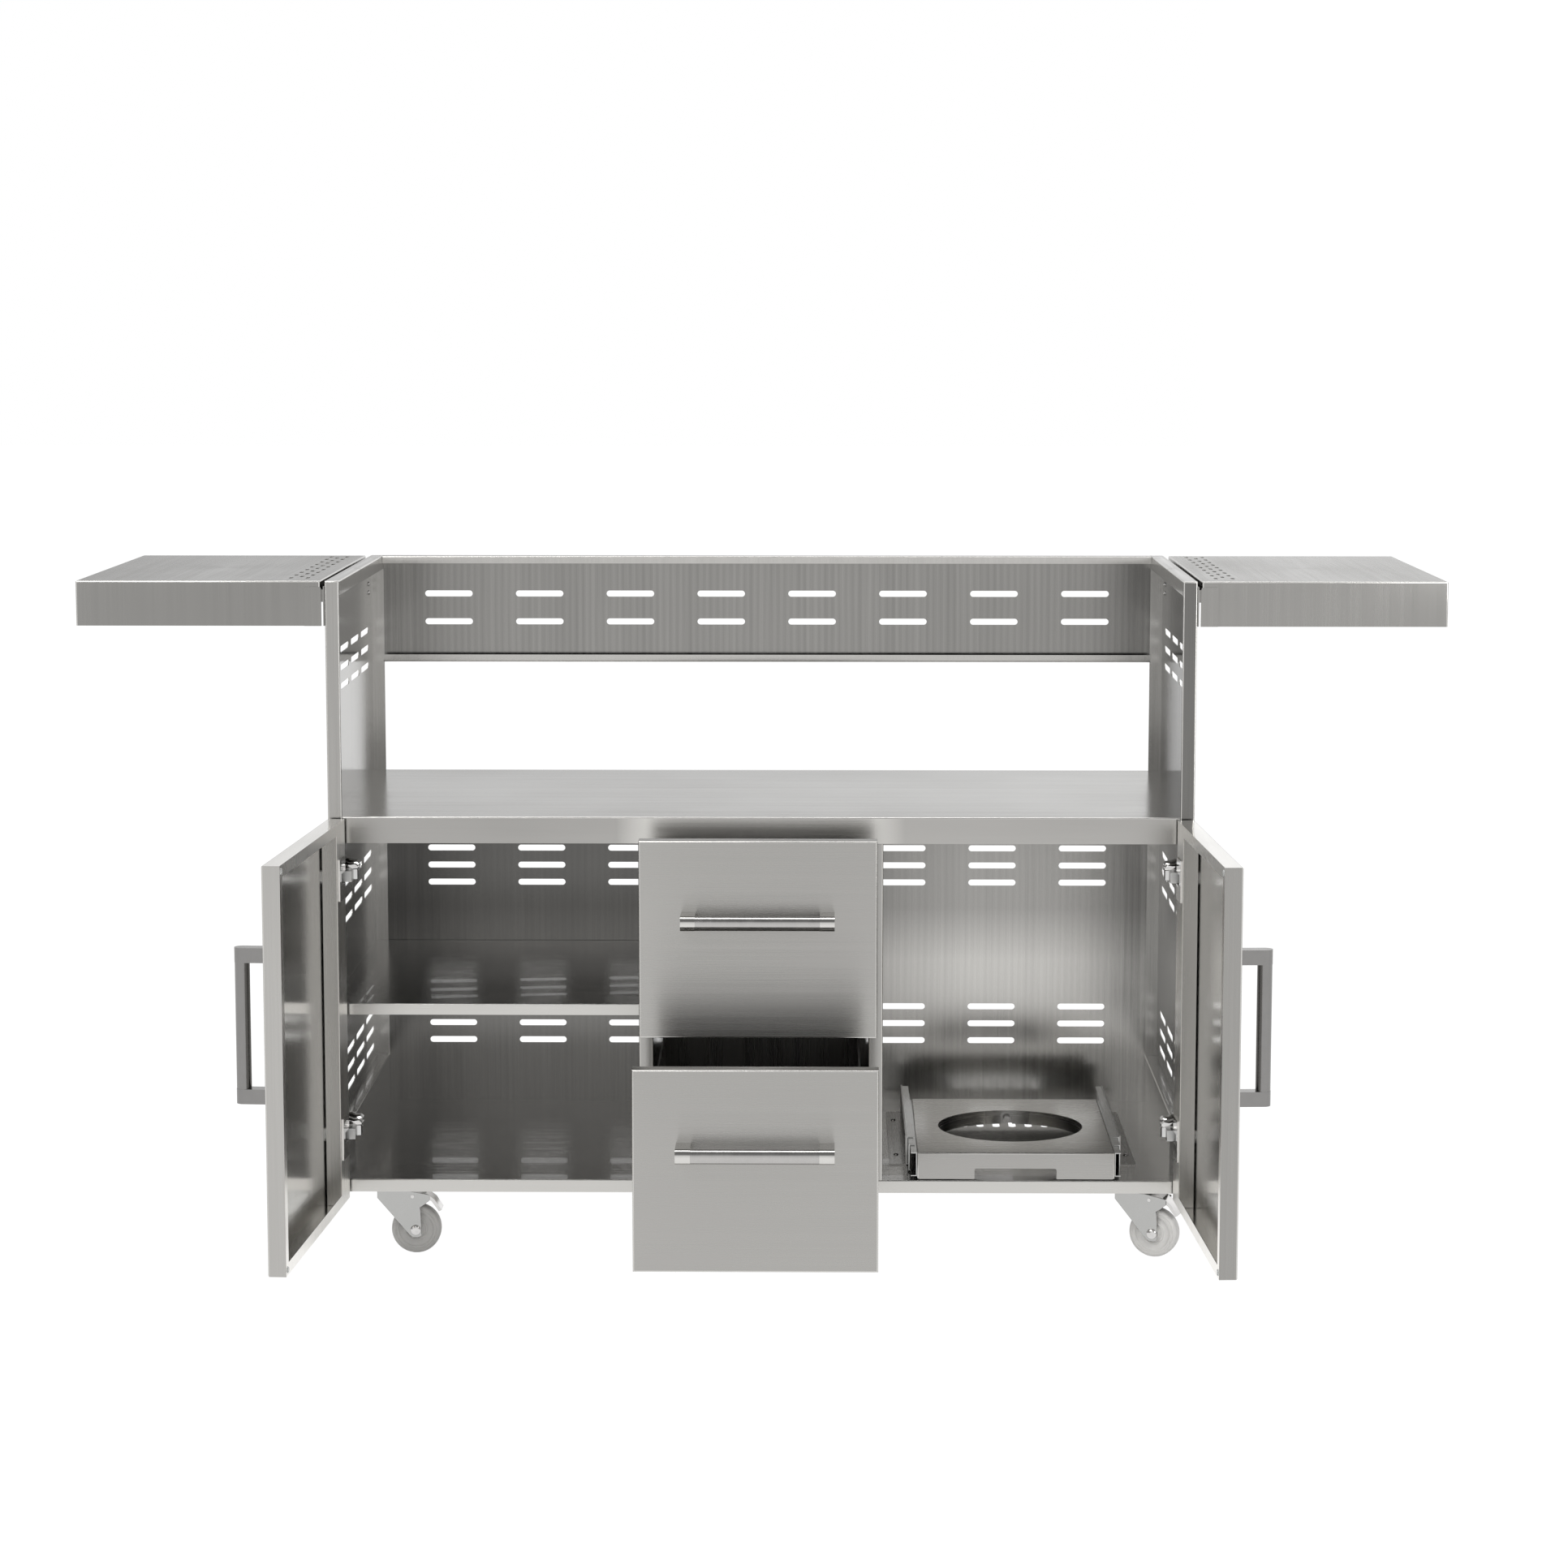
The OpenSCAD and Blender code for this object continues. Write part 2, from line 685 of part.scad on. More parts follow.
module door_pan() {
    x0 = half_w - door_l;
    notch_w = 38;
    notch_half = arm_half_h + ear_gap + ear_t + 1;
    difference() {
        front_slab([x0, front_face, fronts_bottom], [half_w, -front_gap, fronts_top]);
        block([x0 + sheet, front_face + sheet, fronts_bottom + sheet],
            [half_w - sheet, -front_gap - sheet, fronts_top - sheet]);
        block([x0 + front_lip, -front_gap - 2 * sheet, fronts_bottom + front_lip],
            [half_w - hinge_lip, -front_gap + eps, fronts_top - front_lip]);
        for (z = hinge_z)
            block([half_w - notch_w, -front_gap - 2 * sheet, z - notch_half],
                [half_w - 1.5, -front_gap + eps, z + notch_half]);
    }
}

// The cup's plate, its two ears and the pin, on a door drawn closed
module hinge_cup(z) {
    ear_z = arm_half_h + ear_gap;
    plate_x1 = half_w - 8;
    plate_x0 = half_w - 48;
    difference() {
        block([plate_x0, -front_gap, z - hinge_plate_half_h],
            [plate_x1, -front_gap + hinge_plate_t, z + hinge_plate_half_h]);
        block([half_w - 37, -front_gap - eps, z - ear_z], [half_w, 0, z + ear_z]);
    }
    for (s = [-1, 1]) along_z(z + (s > 0 ? ear_z : -ear_z - ear_t), z + (s > 0 ? ear_z + ear_t : -ear_z))
        polygon(concat(
            [[plate_x1, -front_gap], [half_w - 22, -front_gap]],
            [[pivot_x - 12, pivot_y + 2]],
            arc([pivot_x, pivot_y], 4.5, 225, 360)
        ));
    translate([pivot_x, pivot_y, z - ear_z - ear_t])
        cylinder(h = 2 * (ear_z + ear_t), r = hinge_pin_r, $fn = 32);
}

module hinge_cups() {
    for (z = hinge_z) hinge_cup(z);
}

// A handle: a round bar between two posts with rounded fronts, drawn level along X
module handle(x, z, face_y) {
    post_w = handle_d - 0.6;
    bar_y = face_y - handle_out + handle_d / 2;
    for (s = [-1, 1]) {
        x_end = x + s * handle_l / 2;
        along_x(min(x_end, x_end - s * post_w), max(x_end, x_end - s * post_w))
            union() {
                translate([bar_y, z]) circle(r = handle_d / 2, $fn = 64);
                translate([bar_y, z - handle_d / 2]) square([face_y - bar_y, handle_d]);
            }
    }
    translate([x - handle_l / 2 + post_w, bar_y, z]) rotate([0, 90, 0])
        cylinder(h = handle_l - 2 * post_w, r = handle_d / 2 - 0.3, $fn = 64);
}

// The same handle, upright on a door drawn closed
module door_handle() {
    x = half_w - door_l + door_handle_in;
    translate([x, 0, door_handle_z]) rotate([0, 90, 0]) handle(0, 0, front_face);
}

module bumpers() {
    x = half_w - door_l + front_lip / 2;
    for (z = [fronts_bottom + front_lip / 2, fronts_top - front_lip / 2])
        translate([x, -front_gap + 1.5, z]) rotate([90, 0, 0])
            cylinder(h = 1.5, r1 = 3.5, r2 = 4.5, $fn = 32);
}

module right_door_pan() {
    color(steel) open_door(right_open) door_pan();
}

module right_door_handle() {
    color(bright) open_door(right_open) door_handle();
}

module right_hinge_cups() {
    color("whitesmoke") open_door(right_open) hinge_cups();
}

module right_bumpers() {
    color("white") open_door(right_open) bumpers();
}

module left_door_pan() {
    color(steel) mirror([1, 0, 0]) open_door(left_open) door_pan();
}

module left_door_handle() {
    color(bright) mirror([1, 0, 0]) open_door(left_open) door_handle();
}

module left_hinge_cups() {
    color("whitesmoke") mirror([1, 0, 0]) open_door(left_open) hinge_cups();
}

module left_bumpers() {
    color("white") mirror([1, 0, 0]) open_door(left_open) bumpers();
}

// A drawer's front pan, drawn closed, from the height of its bottom
module drawer_front(z) {
    half = drawer_front_w / 2;
    difference() {
        front_slab([-half, front_face, z], [half, -front_gap, z + front_h]);
        block([-half + sheet, front_face + sheet, z + sheet],
            [half - sheet, -front_gap - sheet, z + front_h - sheet]);
        block([-half + front_lip, -front_gap - 2 * sheet, z + front_lip],
            [half - front_lip, -front_gap + eps, z + box_rise - 5]);
    }
}

module drawer_box(z) {
    half = drawer_box_w / 2;
    z0 = z + box_rise;
    y0 = -front_gap;
    y1 = slide_y + drawer_l;
    difference() {
        block([-half, y0, z0], [half, y1, z0 + box_h]);
        block([-half + sheet, y0 + sheet, z0 + sheet], [half - sheet, y1 - sheet, z0 + box_h + eps]);
    }
    // turned-in hems along the tops of the sides
    for (s = [-1, 1])
        block([min(s * half, s * (half - 2.6)), y0 + sheet, z0 + box_h - 8],
            [max(s * half, s * (half - 2.6)), y1 - sheet, z0 + box_h]);
}

module drawer_inner_slides(z) {
    for (s = [-1, 1]) slide_inner(-s * bay_in, s, slide_h, slide_y, drawer_l, z + slide_rise);
}

module drawer_middle_slides(z) {
    for (s = [-1, 1]) slide_middle(-s * bay_in, s, slide_h, slide_y, drawer_l, z + slide_rise);
}

module upper_drawer_front() {
    color(steel) translate([0, -upper_out, 0]) drawer_front(upper_z);
}

module upper_drawer_box() {
    color(steel) translate([0, -upper_out, 0]) drawer_box(upper_z);
}

module upper_drawer_handle() {
    color(bright) translate([0, -upper_out, 0])
        handle(0, upper_z + front_h - drawer_handle_drop, front_face);
}

module upper_inner_slides() {
    color(bright) translate([0, -upper_out, 0]) drawer_inner_slides(upper_z);
}

module upper_middle_slides() {
    color(bright) translate([0, -upper_out / 2, 0]) drawer_middle_slides(upper_z);
}

module lower_drawer_front() {
    color(steel) translate([0, -lower_out, 0]) drawer_front(lower_z);
}

module lower_drawer_box() {
    color(steel) translate([0, -lower_out, 0]) drawer_box(lower_z);
}

module lower_drawer_handle() {
    color(bright) translate([0, -lower_out, 0])
        handle(0, lower_z + front_h - drawer_handle_drop, front_face);
}

module lower_inner_slides() {
    color(bright) translate([0, -lower_out, 0]) drawer_inner_slides(lower_z);
}

module lower_middle_slides() {
    color(bright) translate([0, -lower_out / 2, 0]) drawer_middle_slides(lower_z);
}

tank_y = tray_front + tray_l / 2 - 4;

// The tank's tray: a pan with a collared hole and a stepped front flange
module tank_tray() {
    half = tray_w / 2;
    z0 = tray_h - tray_flange;
    y1 = tray_front + tray_l;
    side_drop = 30;
    step_w = 115;
    step_h = 15;
    color(bright) translate([tray_x, 0, 0]) {
        difference() {
            front_top_slab(half, y1, z0);
            block([-half + sheet, tray_front + sheet, z0 - eps], [half - sheet, y1 - sheet, tray_h - sheet]);
            block([-half - eps, tray_front + sheet + eps, z0 - eps],
                [half + eps, y1 + eps, tray_h - side_drop]);
            along_y(tray_front - eps, tray_front + sheet + 2 * eps)
                polygon(soft_rect([-58, z0 - 6], [step_w - 58, z0 + step_h], [0, 0, 3, 3]));
            translate([0, tank_y, z0]) cylinder(h = tray_flange + eps, r = tank_r, $fn = 128);
        }
        difference() {
            translate([0, tank_y, tray_h - collar_h])
                cylinder(h = collar_h, r = tank_r + collar_t, $fn = 128);
            translate([0, tank_y, tray_h - collar_h - eps])
                cylinder(h = collar_h + 2 * eps, r = tank_r, $fn = 128);
            block([-8, tank_y + tank_r - 5, tray_h - collar_h - eps], [8, tank_y + tank_r + 5, tray_h - 4]);
        }
    }
}

module front_top_slab(half, y1, z0) {
    intersection() {
        along_x(-half, half) polygon(soft_rect([tray_front, z0], [y1, tray_h], [0, 0, bend_r, bend_r]));
        along_z(z0, tray_h) polygon(soft_rect([-half, tray_front], [half, y1],
            [bend_r, bend_r, bend_r, bend_r]));
        along_y(tray_front, y1) polygon(soft_rect([-half, z0], [half, tray_h], [4, 4, bend_r, bend_r]));
    }
}

lock_z = tray_h - 12;
lock_r = 3;

// The bracket behind the collar that the lock screw runs in
module tank_clamp() {
    y0 = tank_y + tank_r + collar_t;
    color(steel) translate([tray_x, 0, 0]) difference() {
        union() {
            block([-18, y0 + 2, tray_h - sheet - 18], [18, y0 + 4.5, tray_h - sheet]);
            block([-18, y0 + 4.5, tray_h - sheet - 2], [18, y0 + 18, tray_h - sheet]);
        }
        rod_y(0, lock_z, y0 - eps, y0 + 6, lock_r + run_gap);
    }
}

// A screw with a knurled head, whose tip bears on the tank's foot ring
module tank_lock_screw() {
    y0 = tank_y + tank_r - 6;
    y1 = tank_y + tank_r + collar_t + 22;
    color("whitesmoke") translate([tray_x, 0, 0]) {
        rod_y(0, lock_z, y0, y1, lock_r);
        difference() {
            rod_y(0, lock_z, y1, y1 + 9, 8);
            for (i = [0:11]) rotate_about_y(0, lock_z, i * 30)
                block([-0.8, y1 - eps, 7.2], [0.8, y1 + 9 + eps, 9]);
        }
        rod_y(0, lock_z, y0 - 3, y0, 5);
    }
}

module rotate_about_y(x, z, a) {
    translate([x, 0, z]) rotate([0, a, 0]) children();
}

module tray_inner_slides() {
    color(bright) for (s = [-1, 1]) slide_inner(tray_x - s * tray_slide_x, s, tray_slide_h,
        tray_slide_y - tray_out, tray_slide_l, tray_slide_z);
}

module tray_middle_slides() {
    color(bright) for (s = [-1, 1]) slide_middle(tray_x - s * tray_slide_x, s, tray_slide_h,
        tray_slide_y - tray_out / 2, tray_slide_l, tray_slide_z);
}

// Puts a caster's piece, drawn with its wheel trailing along X, in its place
module at_caster(i) {
    c = caster_rows[i];
    translate([c[0], c[1], 0]) rotate([0, 0, c[2]]) children();
}

module caster_plate() {
    half = 30;
    difference() {
        union() {
            block([-half, -half, caster_top - caster_plate_t], [half, half, caster_top]);
            translate([0, 0, caster_top - caster_plate_t - race_h])
                cylinder(h = race_h, r1 = race_r - 3, r2 = race_r, $fn = 64);
            translate([0, 0, fork_top - fork_t - 1])
                cylinder(h = race_h + fork_t + 2, r = kingpin_r, $fn = 48);
            translate([0, 0, fork_top - fork_t - 3]) cylinder(h = 2.5, r = kingpin_r + 4, $fn = 48);
        }
    }
}

module caster_plates() {
    color(bright) for (c = caster_rows) translate([c[0], c[1], 0]) caster_plate();
}

// A fork: a round crown with two legs that narrow to the axle
module fork(brake) {
    back_x = -20;
    leg = [
        [back_x, fork_top], [22, fork_top], [brake ? 54 : 40, fork_top - 6], [brake ? 54 : 40, fork_top - 14],
        [46, fork_top - 20], [40, fork_top - 24], [caster_trail + 7, fork_top - 30],
        [caster_trail + 8, wheel_r - 8], [caster_trail + 4, wheel_r - 10], [caster_trail - 4, wheel_r - 10],
        [caster_trail - 9, wheel_r - 6], [-8, fork_top - 24], [back_x, fork_top - 10]
    ];
    difference() {
        union() {
            for (y = [-fork_half - fork_t, fork_half]) along_y(y, y + fork_t)
                polygon(leg);
            along_z(fork_top - fork_t, fork_top) polygon(concat(
                [[22, -fork_half - fork_t], [22, fork_half + fork_t]],
                arc([0, 0], fork_half + fork_t + 3.2, 122, 238, 12)
            ));
        }
        translate([0, 0, fork_top - 2 * fork_t]) cylinder(h = 3 * fork_t, r = kingpin_r + run_gap, $fn = 48);
        rod_y(caster_trail, wheel_r, -fork_half - 2 * fork_t, fork_half + 2 * fork_t, axle_r);
        if (brake) rod_y(30, fork_top - 8, -fork_half - 2 * fork_t, fork_half + 2 * fork_t, 2.5);
    }
}

module wheel() {
    half = wheel_w / 2;
    hub_r = 10;
    translate([caster_trail, half, wheel_r]) rotate([90, 0, 0]) rotate_extrude($fn = 96) polygon(concat(
        [[axle_r + run_gap, -1.5], [hub_r, -1.5], [hub_r, 1.5], [19, 1.5], [20, 0.8], [wheel_r - 5, 0.8]],
        arc([wheel_r - 4, 4.8], 4, -80, 0),
        arc([wheel_r - 4, wheel_w - 4.8], 4, 0, 80),
        [[wheel_r - 5, wheel_w - 0.8], [20, wheel_w - 0.8], [19, wheel_w - 1.5], [hub_r, wheel_w - 1.5],
            [hub_r, wheel_w + 1.5], [axle_r + run_gap, wheel_w + 1.5]]
    ));
}

module axle() {
    y1 = fork_half + fork_t;
    rod_y(caster_trail, wheel_r, -y1, y1, axle_r);
    for (s = [-1, 1]) translate([caster_trail, s * y1, wheel_r]) rotate([s > 0 ? -90 : 90, 0, 0])
        rotate_extrude($fn = 48) polygon(concat([[0, 0], [7.5, 0]],
            [for (a = [15:15:90]) [7.5 * cos(a), 3.4 * sin(a)]]));
}

// A brake pedal that turns on a pin between the fork's legs
module brake() {
    pivot_z = fork_top - 8;
    width = fork_half - 0.6;
    difference() {
        along_y(-width, width) polygon([
            [26, pivot_z - 3], [34, pivot_z - 3], [47, pivot_z - 1], [57, pivot_z - 8], [67, pivot_z - 22],
            [71, pivot_z - 20], [61, pivot_z - 5], [49, pivot_z + 4], [30, pivot_z + 4.5], [26, pivot_z + 3]
        ]);
        block([-5, -width + 2, pivot_z - 40], [44, width - 2, pivot_z + 1.5]);
    }
    rod_y(30, pivot_z, -fork_half - fork_t - 0.6, fork_half + fork_t + 0.6, 2.5 - run_gap);
}

module fork_front_left() {
    color(bright) at_caster(0) fork(true);
}

module fork_front_right() {
    color(bright) at_caster(1) fork(true);
}

module fork_back_left() {
    color(bright) at_caster(2) fork(false);
}

module fork_back_right() {
    color(bright) at_caster(3) fork(false);
}

module wheel_front_left() {
    color("lightgray") at_caster(0) wheel();
}

module wheel_front_right() {
    color("lightgray") at_caster(1) wheel();
}

module wheel_back_left() {
    color("lightgray") at_caster(2) wheel();
}

module wheel_back_right() {
    color("lightgray") at_caster(3) wheel();
}

module axle_front_left() {
    color(bright) at_caster(0) axle();
}

module axle_front_right() {
    color(bright) at_caster(1) axle();
}

module axle_back_left() {
    color(bright) at_caster(2) axle();
}

module axle_back_right() {
    color(bright) at_caster(3) axle();
}

module brake_front_left() {
    color(bright) at_caster(0) brake();
}

module brake_front_right() {
    color(bright) at_caster(1) brake();
}

// A pan head screw's head that rises from its seat along Z
module screw_head(r = 4) {
    cylinder(h = 0.6 * r, r1 = r, r2 = 0.7 * r, $fn = 32);
}

// Screw heads on the back panels, the brackets, the hinge plates and the caster plates
module screws() {
    back_x = half_w - flange / 2;
    color("whitesmoke") {
        for (x = [-back_x, back_x], z = [140, 300, 460, 600, upper_back_z + 24, body_h - 30])
            translate([x, body_d + sheet, z]) rotate([-90, 0, 0]) screw_head();
        for (s = [0, 1], z = hinge_z, dz = [-14, 14]) mirror([s, 0, 0])
            translate([inner_x - 3, pivot_y + arm_back + 15, z + dz]) rotate([0, -90, 0]) screw_head(3.5);
        for (s = [-1, 1], y = [60, tray_slide_l - 60])
            translate([tray_x + s * (tray_slide_x + 14), tray_slide_y + y, pan_h + 2]) screw_head(3.5);
        for (s = [0, 1], z = [918, 905]) mirror([s, 0, 0])
            translate([inner_x, body_d - 38, z]) rotate([0, -90, 0]) screw_head(3.5);
        for (s = [0, 1], y = [0.2, 0.5, 0.8]) mirror([s, 0, 0])
            translate([half_w + bracket_plate_t, y * side_shelf_d, shelf_z0 + 18]) rotate([0, 90, 0])
                screw_head();
        for (c = caster_rows, dx = [-24, 24], dy = [-24, 24])
            translate([c[0] + dx, c[1] + dy, caster_top - caster_plate_t]) rotate([180, 0, 0])
                screw_head(3.8);
    }
}

// Everything is drawn from the cabinet's front, then moved over the origin
module placed() {
    translate([0, -y_mid, 0]) children();
}

placed() left_side_panel();
placed() right_side_panel();
placed() upper_back_panel();
placed() lower_back_panel();
placed() deck();
placed() floor_pan();
placed() left_divider();
placed() right_divider();
placed() middle_shelf();
placed() caster_rails();
placed() shelf_brackets();
placed() shelf_pivot_pins();
placed() tray_brackets();
placed() slide_outer_members();
placed() hinge_arms();
placed() caster_plates();
placed() screws();
placed() left_door_pan();
placed() left_door_handle();
placed() left_hinge_cups();
placed() left_bumpers();
placed() right_door_pan();
placed() right_door_handle();
placed() right_hinge_cups();
placed() right_bumpers();
placed() upper_drawer_front();
placed() upper_drawer_box();
placed() upper_drawer_handle();
placed() upper_inner_slides();
placed() upper_middle_slides();
placed() lower_drawer_front();
placed() lower_drawer_box();
placed() lower_drawer_handle();
placed() lower_inner_slides();
placed() lower_middle_slides();
placed() tank_tray();
placed() tank_clamp();
placed() tank_lock_screw();
placed() tray_inner_slides();
placed() tray_middle_slides();
placed() left_side_shelf();
placed() right_side_shelf();
placed() fork_front_left();
placed() fork_front_right();
placed() fork_back_left();
placed() fork_back_right();
placed() wheel_front_left();
placed() wheel_front_right();
placed() wheel_back_left();
placed() wheel_back_right();
placed() axle_front_left();
placed() axle_front_right();
placed() axle_back_left();
placed() axle_back_right();
placed() brake_front_left();
placed() brake_front_right();
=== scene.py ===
"""Looks of the grill cart: brushed steel cabinet, doors, drawers, tray, side shelves and casters."""

import logging
import math
from dataclasses import dataclass, field
from enum import Enum
from typing import Any, ClassVar, Iterable, Sequence

import bmesh
import bpy
import numpy as np
from mathutils import Matrix, Vector

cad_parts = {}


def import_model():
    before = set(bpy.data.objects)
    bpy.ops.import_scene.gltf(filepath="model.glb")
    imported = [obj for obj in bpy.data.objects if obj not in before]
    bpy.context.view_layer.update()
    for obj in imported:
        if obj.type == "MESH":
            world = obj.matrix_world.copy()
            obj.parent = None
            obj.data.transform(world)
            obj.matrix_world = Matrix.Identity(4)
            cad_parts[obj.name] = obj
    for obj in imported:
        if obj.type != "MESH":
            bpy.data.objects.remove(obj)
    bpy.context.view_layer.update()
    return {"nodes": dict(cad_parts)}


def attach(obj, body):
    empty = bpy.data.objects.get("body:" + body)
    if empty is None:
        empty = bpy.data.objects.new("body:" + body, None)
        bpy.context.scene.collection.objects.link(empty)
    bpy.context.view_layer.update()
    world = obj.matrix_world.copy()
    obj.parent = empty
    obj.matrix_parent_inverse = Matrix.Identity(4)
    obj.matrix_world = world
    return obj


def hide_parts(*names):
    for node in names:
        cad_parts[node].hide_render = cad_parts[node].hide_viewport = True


LOG = logging.getLogger("grill_cart")
MM = 0.001
FULL_TURN = 2 * math.pi
# Points closer than this are one point
WELD = 0.01 * MM
# A flat region of a sheet that is narrower than this is a cut edge or a bend's facet
EDGE_WIDTH = 1.3 * MM
# Place of the edges' finish, a painted highlight, among a sheet's materials
EDGE_SLOT = 1
# Faces whose directions agree by this cosine look the same way
SAME_WAY = 0.95
# Faces whose directions agree by this cosine are in one plane
ONE_PLANE = 0.9999
# Beyond every point of the cart
FAR = 10.0
# Height of the deck's top
DECK_TOP = 632 * MM
CORNERS = ("front_left", "front_right", "back_left", "back_right")
Pair = tuple[float, float]
Triple = tuple[float, float, float]
Colour = Triple
BLACK: Colour = (0.0, 0.0, 0.0)


class Grain(Enum):
    """Way that the brushing runs on a sheet."""

    LEVEL = "along the cart's width"
    UPRIGHT = "up and down, and front to back on level faces"


class Value:
    """A number's socket in a shader, with arithmetic that adds Math nodes."""

    def __init__(self, sheet: "ShaderSheet", socket: bpy.types.NodeSocket) -> None:
        """Wraps a socket.

        Args:
            sheet: The shader sheet that the socket is in.
            socket: The output socket.
        """
        self.sheet = sheet
        self.socket = socket

    def maths(self, operation: str, *values: "Value | float") -> "Value":
        """Adds one Math node.

        Args:
            operation: The Math node's operation.
            values: The operands, in order.

        Returns:
            The node's result.
        """
        inputs = dict(enumerate(values))
        return self.sheet.node("ShaderNodeMath", {"operation": operation}, inputs)["Value"]

    def __add__(self, other: "Value | float") -> "Value":
        """Sum."""
        return self.maths("ADD", self, other)

    __radd__ = __add__

    def __sub__(self, other: "Value | float") -> "Value":
        """Difference."""
        return self.maths("SUBTRACT", self, other)

    def __rsub__(self, other: float) -> "Value":
        """Difference from a plain number."""
        return self.maths("SUBTRACT", other, self)

    def __mul__(self, other: "Value | float") -> "Value":
        """Product."""
        return self.maths("MULTIPLY", self, other)

    __rmul__ = __mul__

    def __gt__(self, other: float) -> "Value":
        """1 where the value is greater."""
        return self.maths("GREATER_THAN", self, other)

    def size(self) -> "Value":
        """Value without its sign."""
        return self.maths("ABSOLUTE", self)

    def clamped(self) -> "Value":
        """Value held between 0 and 1."""
        return self.maths("MINIMUM", self.maths("MAXIMUM", self, 0.0), 1.0)

    def sine(self) -> "Value":
        """Sine of the value, taken as an angle."""
        return self.maths("SINE", self)

    def either(self, other: "Value") -> "Value":
        """Greater of two values."""
        return self.maths("MAXIMUM", self, other)

    def ramped(self, low: float, high: float) -> "Value":
        """Value stretched so that low comes to 0 and high to 1, held between them."""
        return ((self - low) * (1 / (high - low))).clamped()


class ShaderSheet:
    """The node tree of one material or world."""

    # Numbers of the Mix node's two colour inputs
    MIX_COLOURS = (6, 7)

    def __init__(self, tree: bpy.types.NodeTree) -> None:
        """Empties the tree.

        Args:
            tree: The node tree to write in.
        """
        self.tree = tree
        tree.nodes.clear()

    def node(self, kind: str, settings: dict[str, Any], inputs: dict[Any, Any]) -> dict[str, Value]:
        """Adds a node.

        Args:
            kind: The node's type.
            settings: Properties of the node, set before its sockets.
            inputs: Values or links by the socket's name or number.

        Returns:
            The node's enabled outputs by name.
        """
        made = self.tree.nodes.new(kind)
        for key, value in settings.items():
            setattr(made, key, value)
        for key, value in inputs.items():
            if isinstance(value, Value):
                self.tree.links.new(value.socket, made.inputs[key])
            else:
                made.inputs[key].default_value = value
        return {o.name: Value(self, o) for o in made.outputs if o.enabled}

    def scaled(self, vector: Value, scale: Triple) -> Value:
        """Vector multiplied axis by axis."""
        return self.node("ShaderNodeVectorMath", {"operation": "MULTIPLY"}, {0: vector, 1: scale})["Vector"]

    def noise(self, vector: Value, scale: float, detail: float = 2.0) -> Value:
        """Adds a noise pattern.

        Args:
            vector: Where the pattern is read.
            scale: Features in a unit of the vector.
            detail: Number of finer layers.

        Returns:
            A value about 0.5.
        """
        inputs = {"Vector": vector, "Scale": scale, "Detail": detail, "Roughness": 0.55}
        return self.node("ShaderNodeTexNoise", {"noise_dimensions": "3D"}, inputs)["Fac"]

    def blend_value(self, factor: Value, low: "Value | float", high: "Value | float") -> Value:
        """Value between two others."""
        return factor * (high - low) + low

    def blend_colour(self, factor: Value, low: Colour, high: Colour) -> Value:
        """Colour between two others.

        Args:
            factor: 0 gives low and 1 gives high.
            low: A colour.
            high: Another colour.

        Returns:
            The colour socket.
        """
        first, second = self.MIX_COLOURS
        inputs = {0: factor, first: (*low, 1.0), second: (*high, 1.0)}
        return self.node("ShaderNodeMix", {"data_type": "RGBA"}, inputs)["Result"]

    def relief(self, height: Value, strength: float, distance: float) -> Value:
        """Bump from a height."""
        inputs = {"Height": height, "Strength": strength, "Distance": distance}
        return self.node("ShaderNodeBump", {}, inputs)["Normal"]

    def surface(self, inputs: dict[str, Any]) -> None:
        """Adds the surface shader and the output.

        Args:
            inputs: Values and links of the shader's sockets.
        """
        shader = self.node("ShaderNodeBsdfPrincipled", {}, inputs)["BSDF"]
        self.node("ShaderNodeOutputMaterial", {}, {"Surface": shader})


def new_material(name: str) -> tuple[bpy.types.Material, ShaderSheet]:
    """Makes a material with an empty node tree.

    Args:
        name: The material's name.

    Returns:
        The material, and the sheet to write its shader in.
    """
    made = bpy.data.materials.new(name)
    made.use_nodes = True
    return made, ShaderSheet(made.node_tree)


def plain(level: float) -> tuple[float, float, float, float]:
    """A grey for a colour socket."""
    return (level, level, level, 1.0)


def varied(tint: Colour, share: float) -> Colour:
    """A colour made lighter or darker by a share."""
    return tuple(min(1.0, c * (1 + share)) for c in tint)


def warm_grey(level: float) -> Colour:
    """A grey with a little more red and less blue than a neutral one."""
    warmth, green_share = 0.03, 0.35
    return (level * (1 + warmth), level * (1 + warmth * green_share), level * (1 - warmth))


@dataclass(frozen=True)
class PaintedFade:
    """A painted change of shade from one side of a sheet to the other, standing in for light and shade that
    fall unevenly on it.

    Attributes:
        axis: "X", "Y" or "Z".
        start: Where the change starts.
        end: Where it ends.
        before: Share of the shade before the start.
        after: Share of the shade after the end.
    """

    axis: str
    start: float
    end: float
    before: float
    after: float


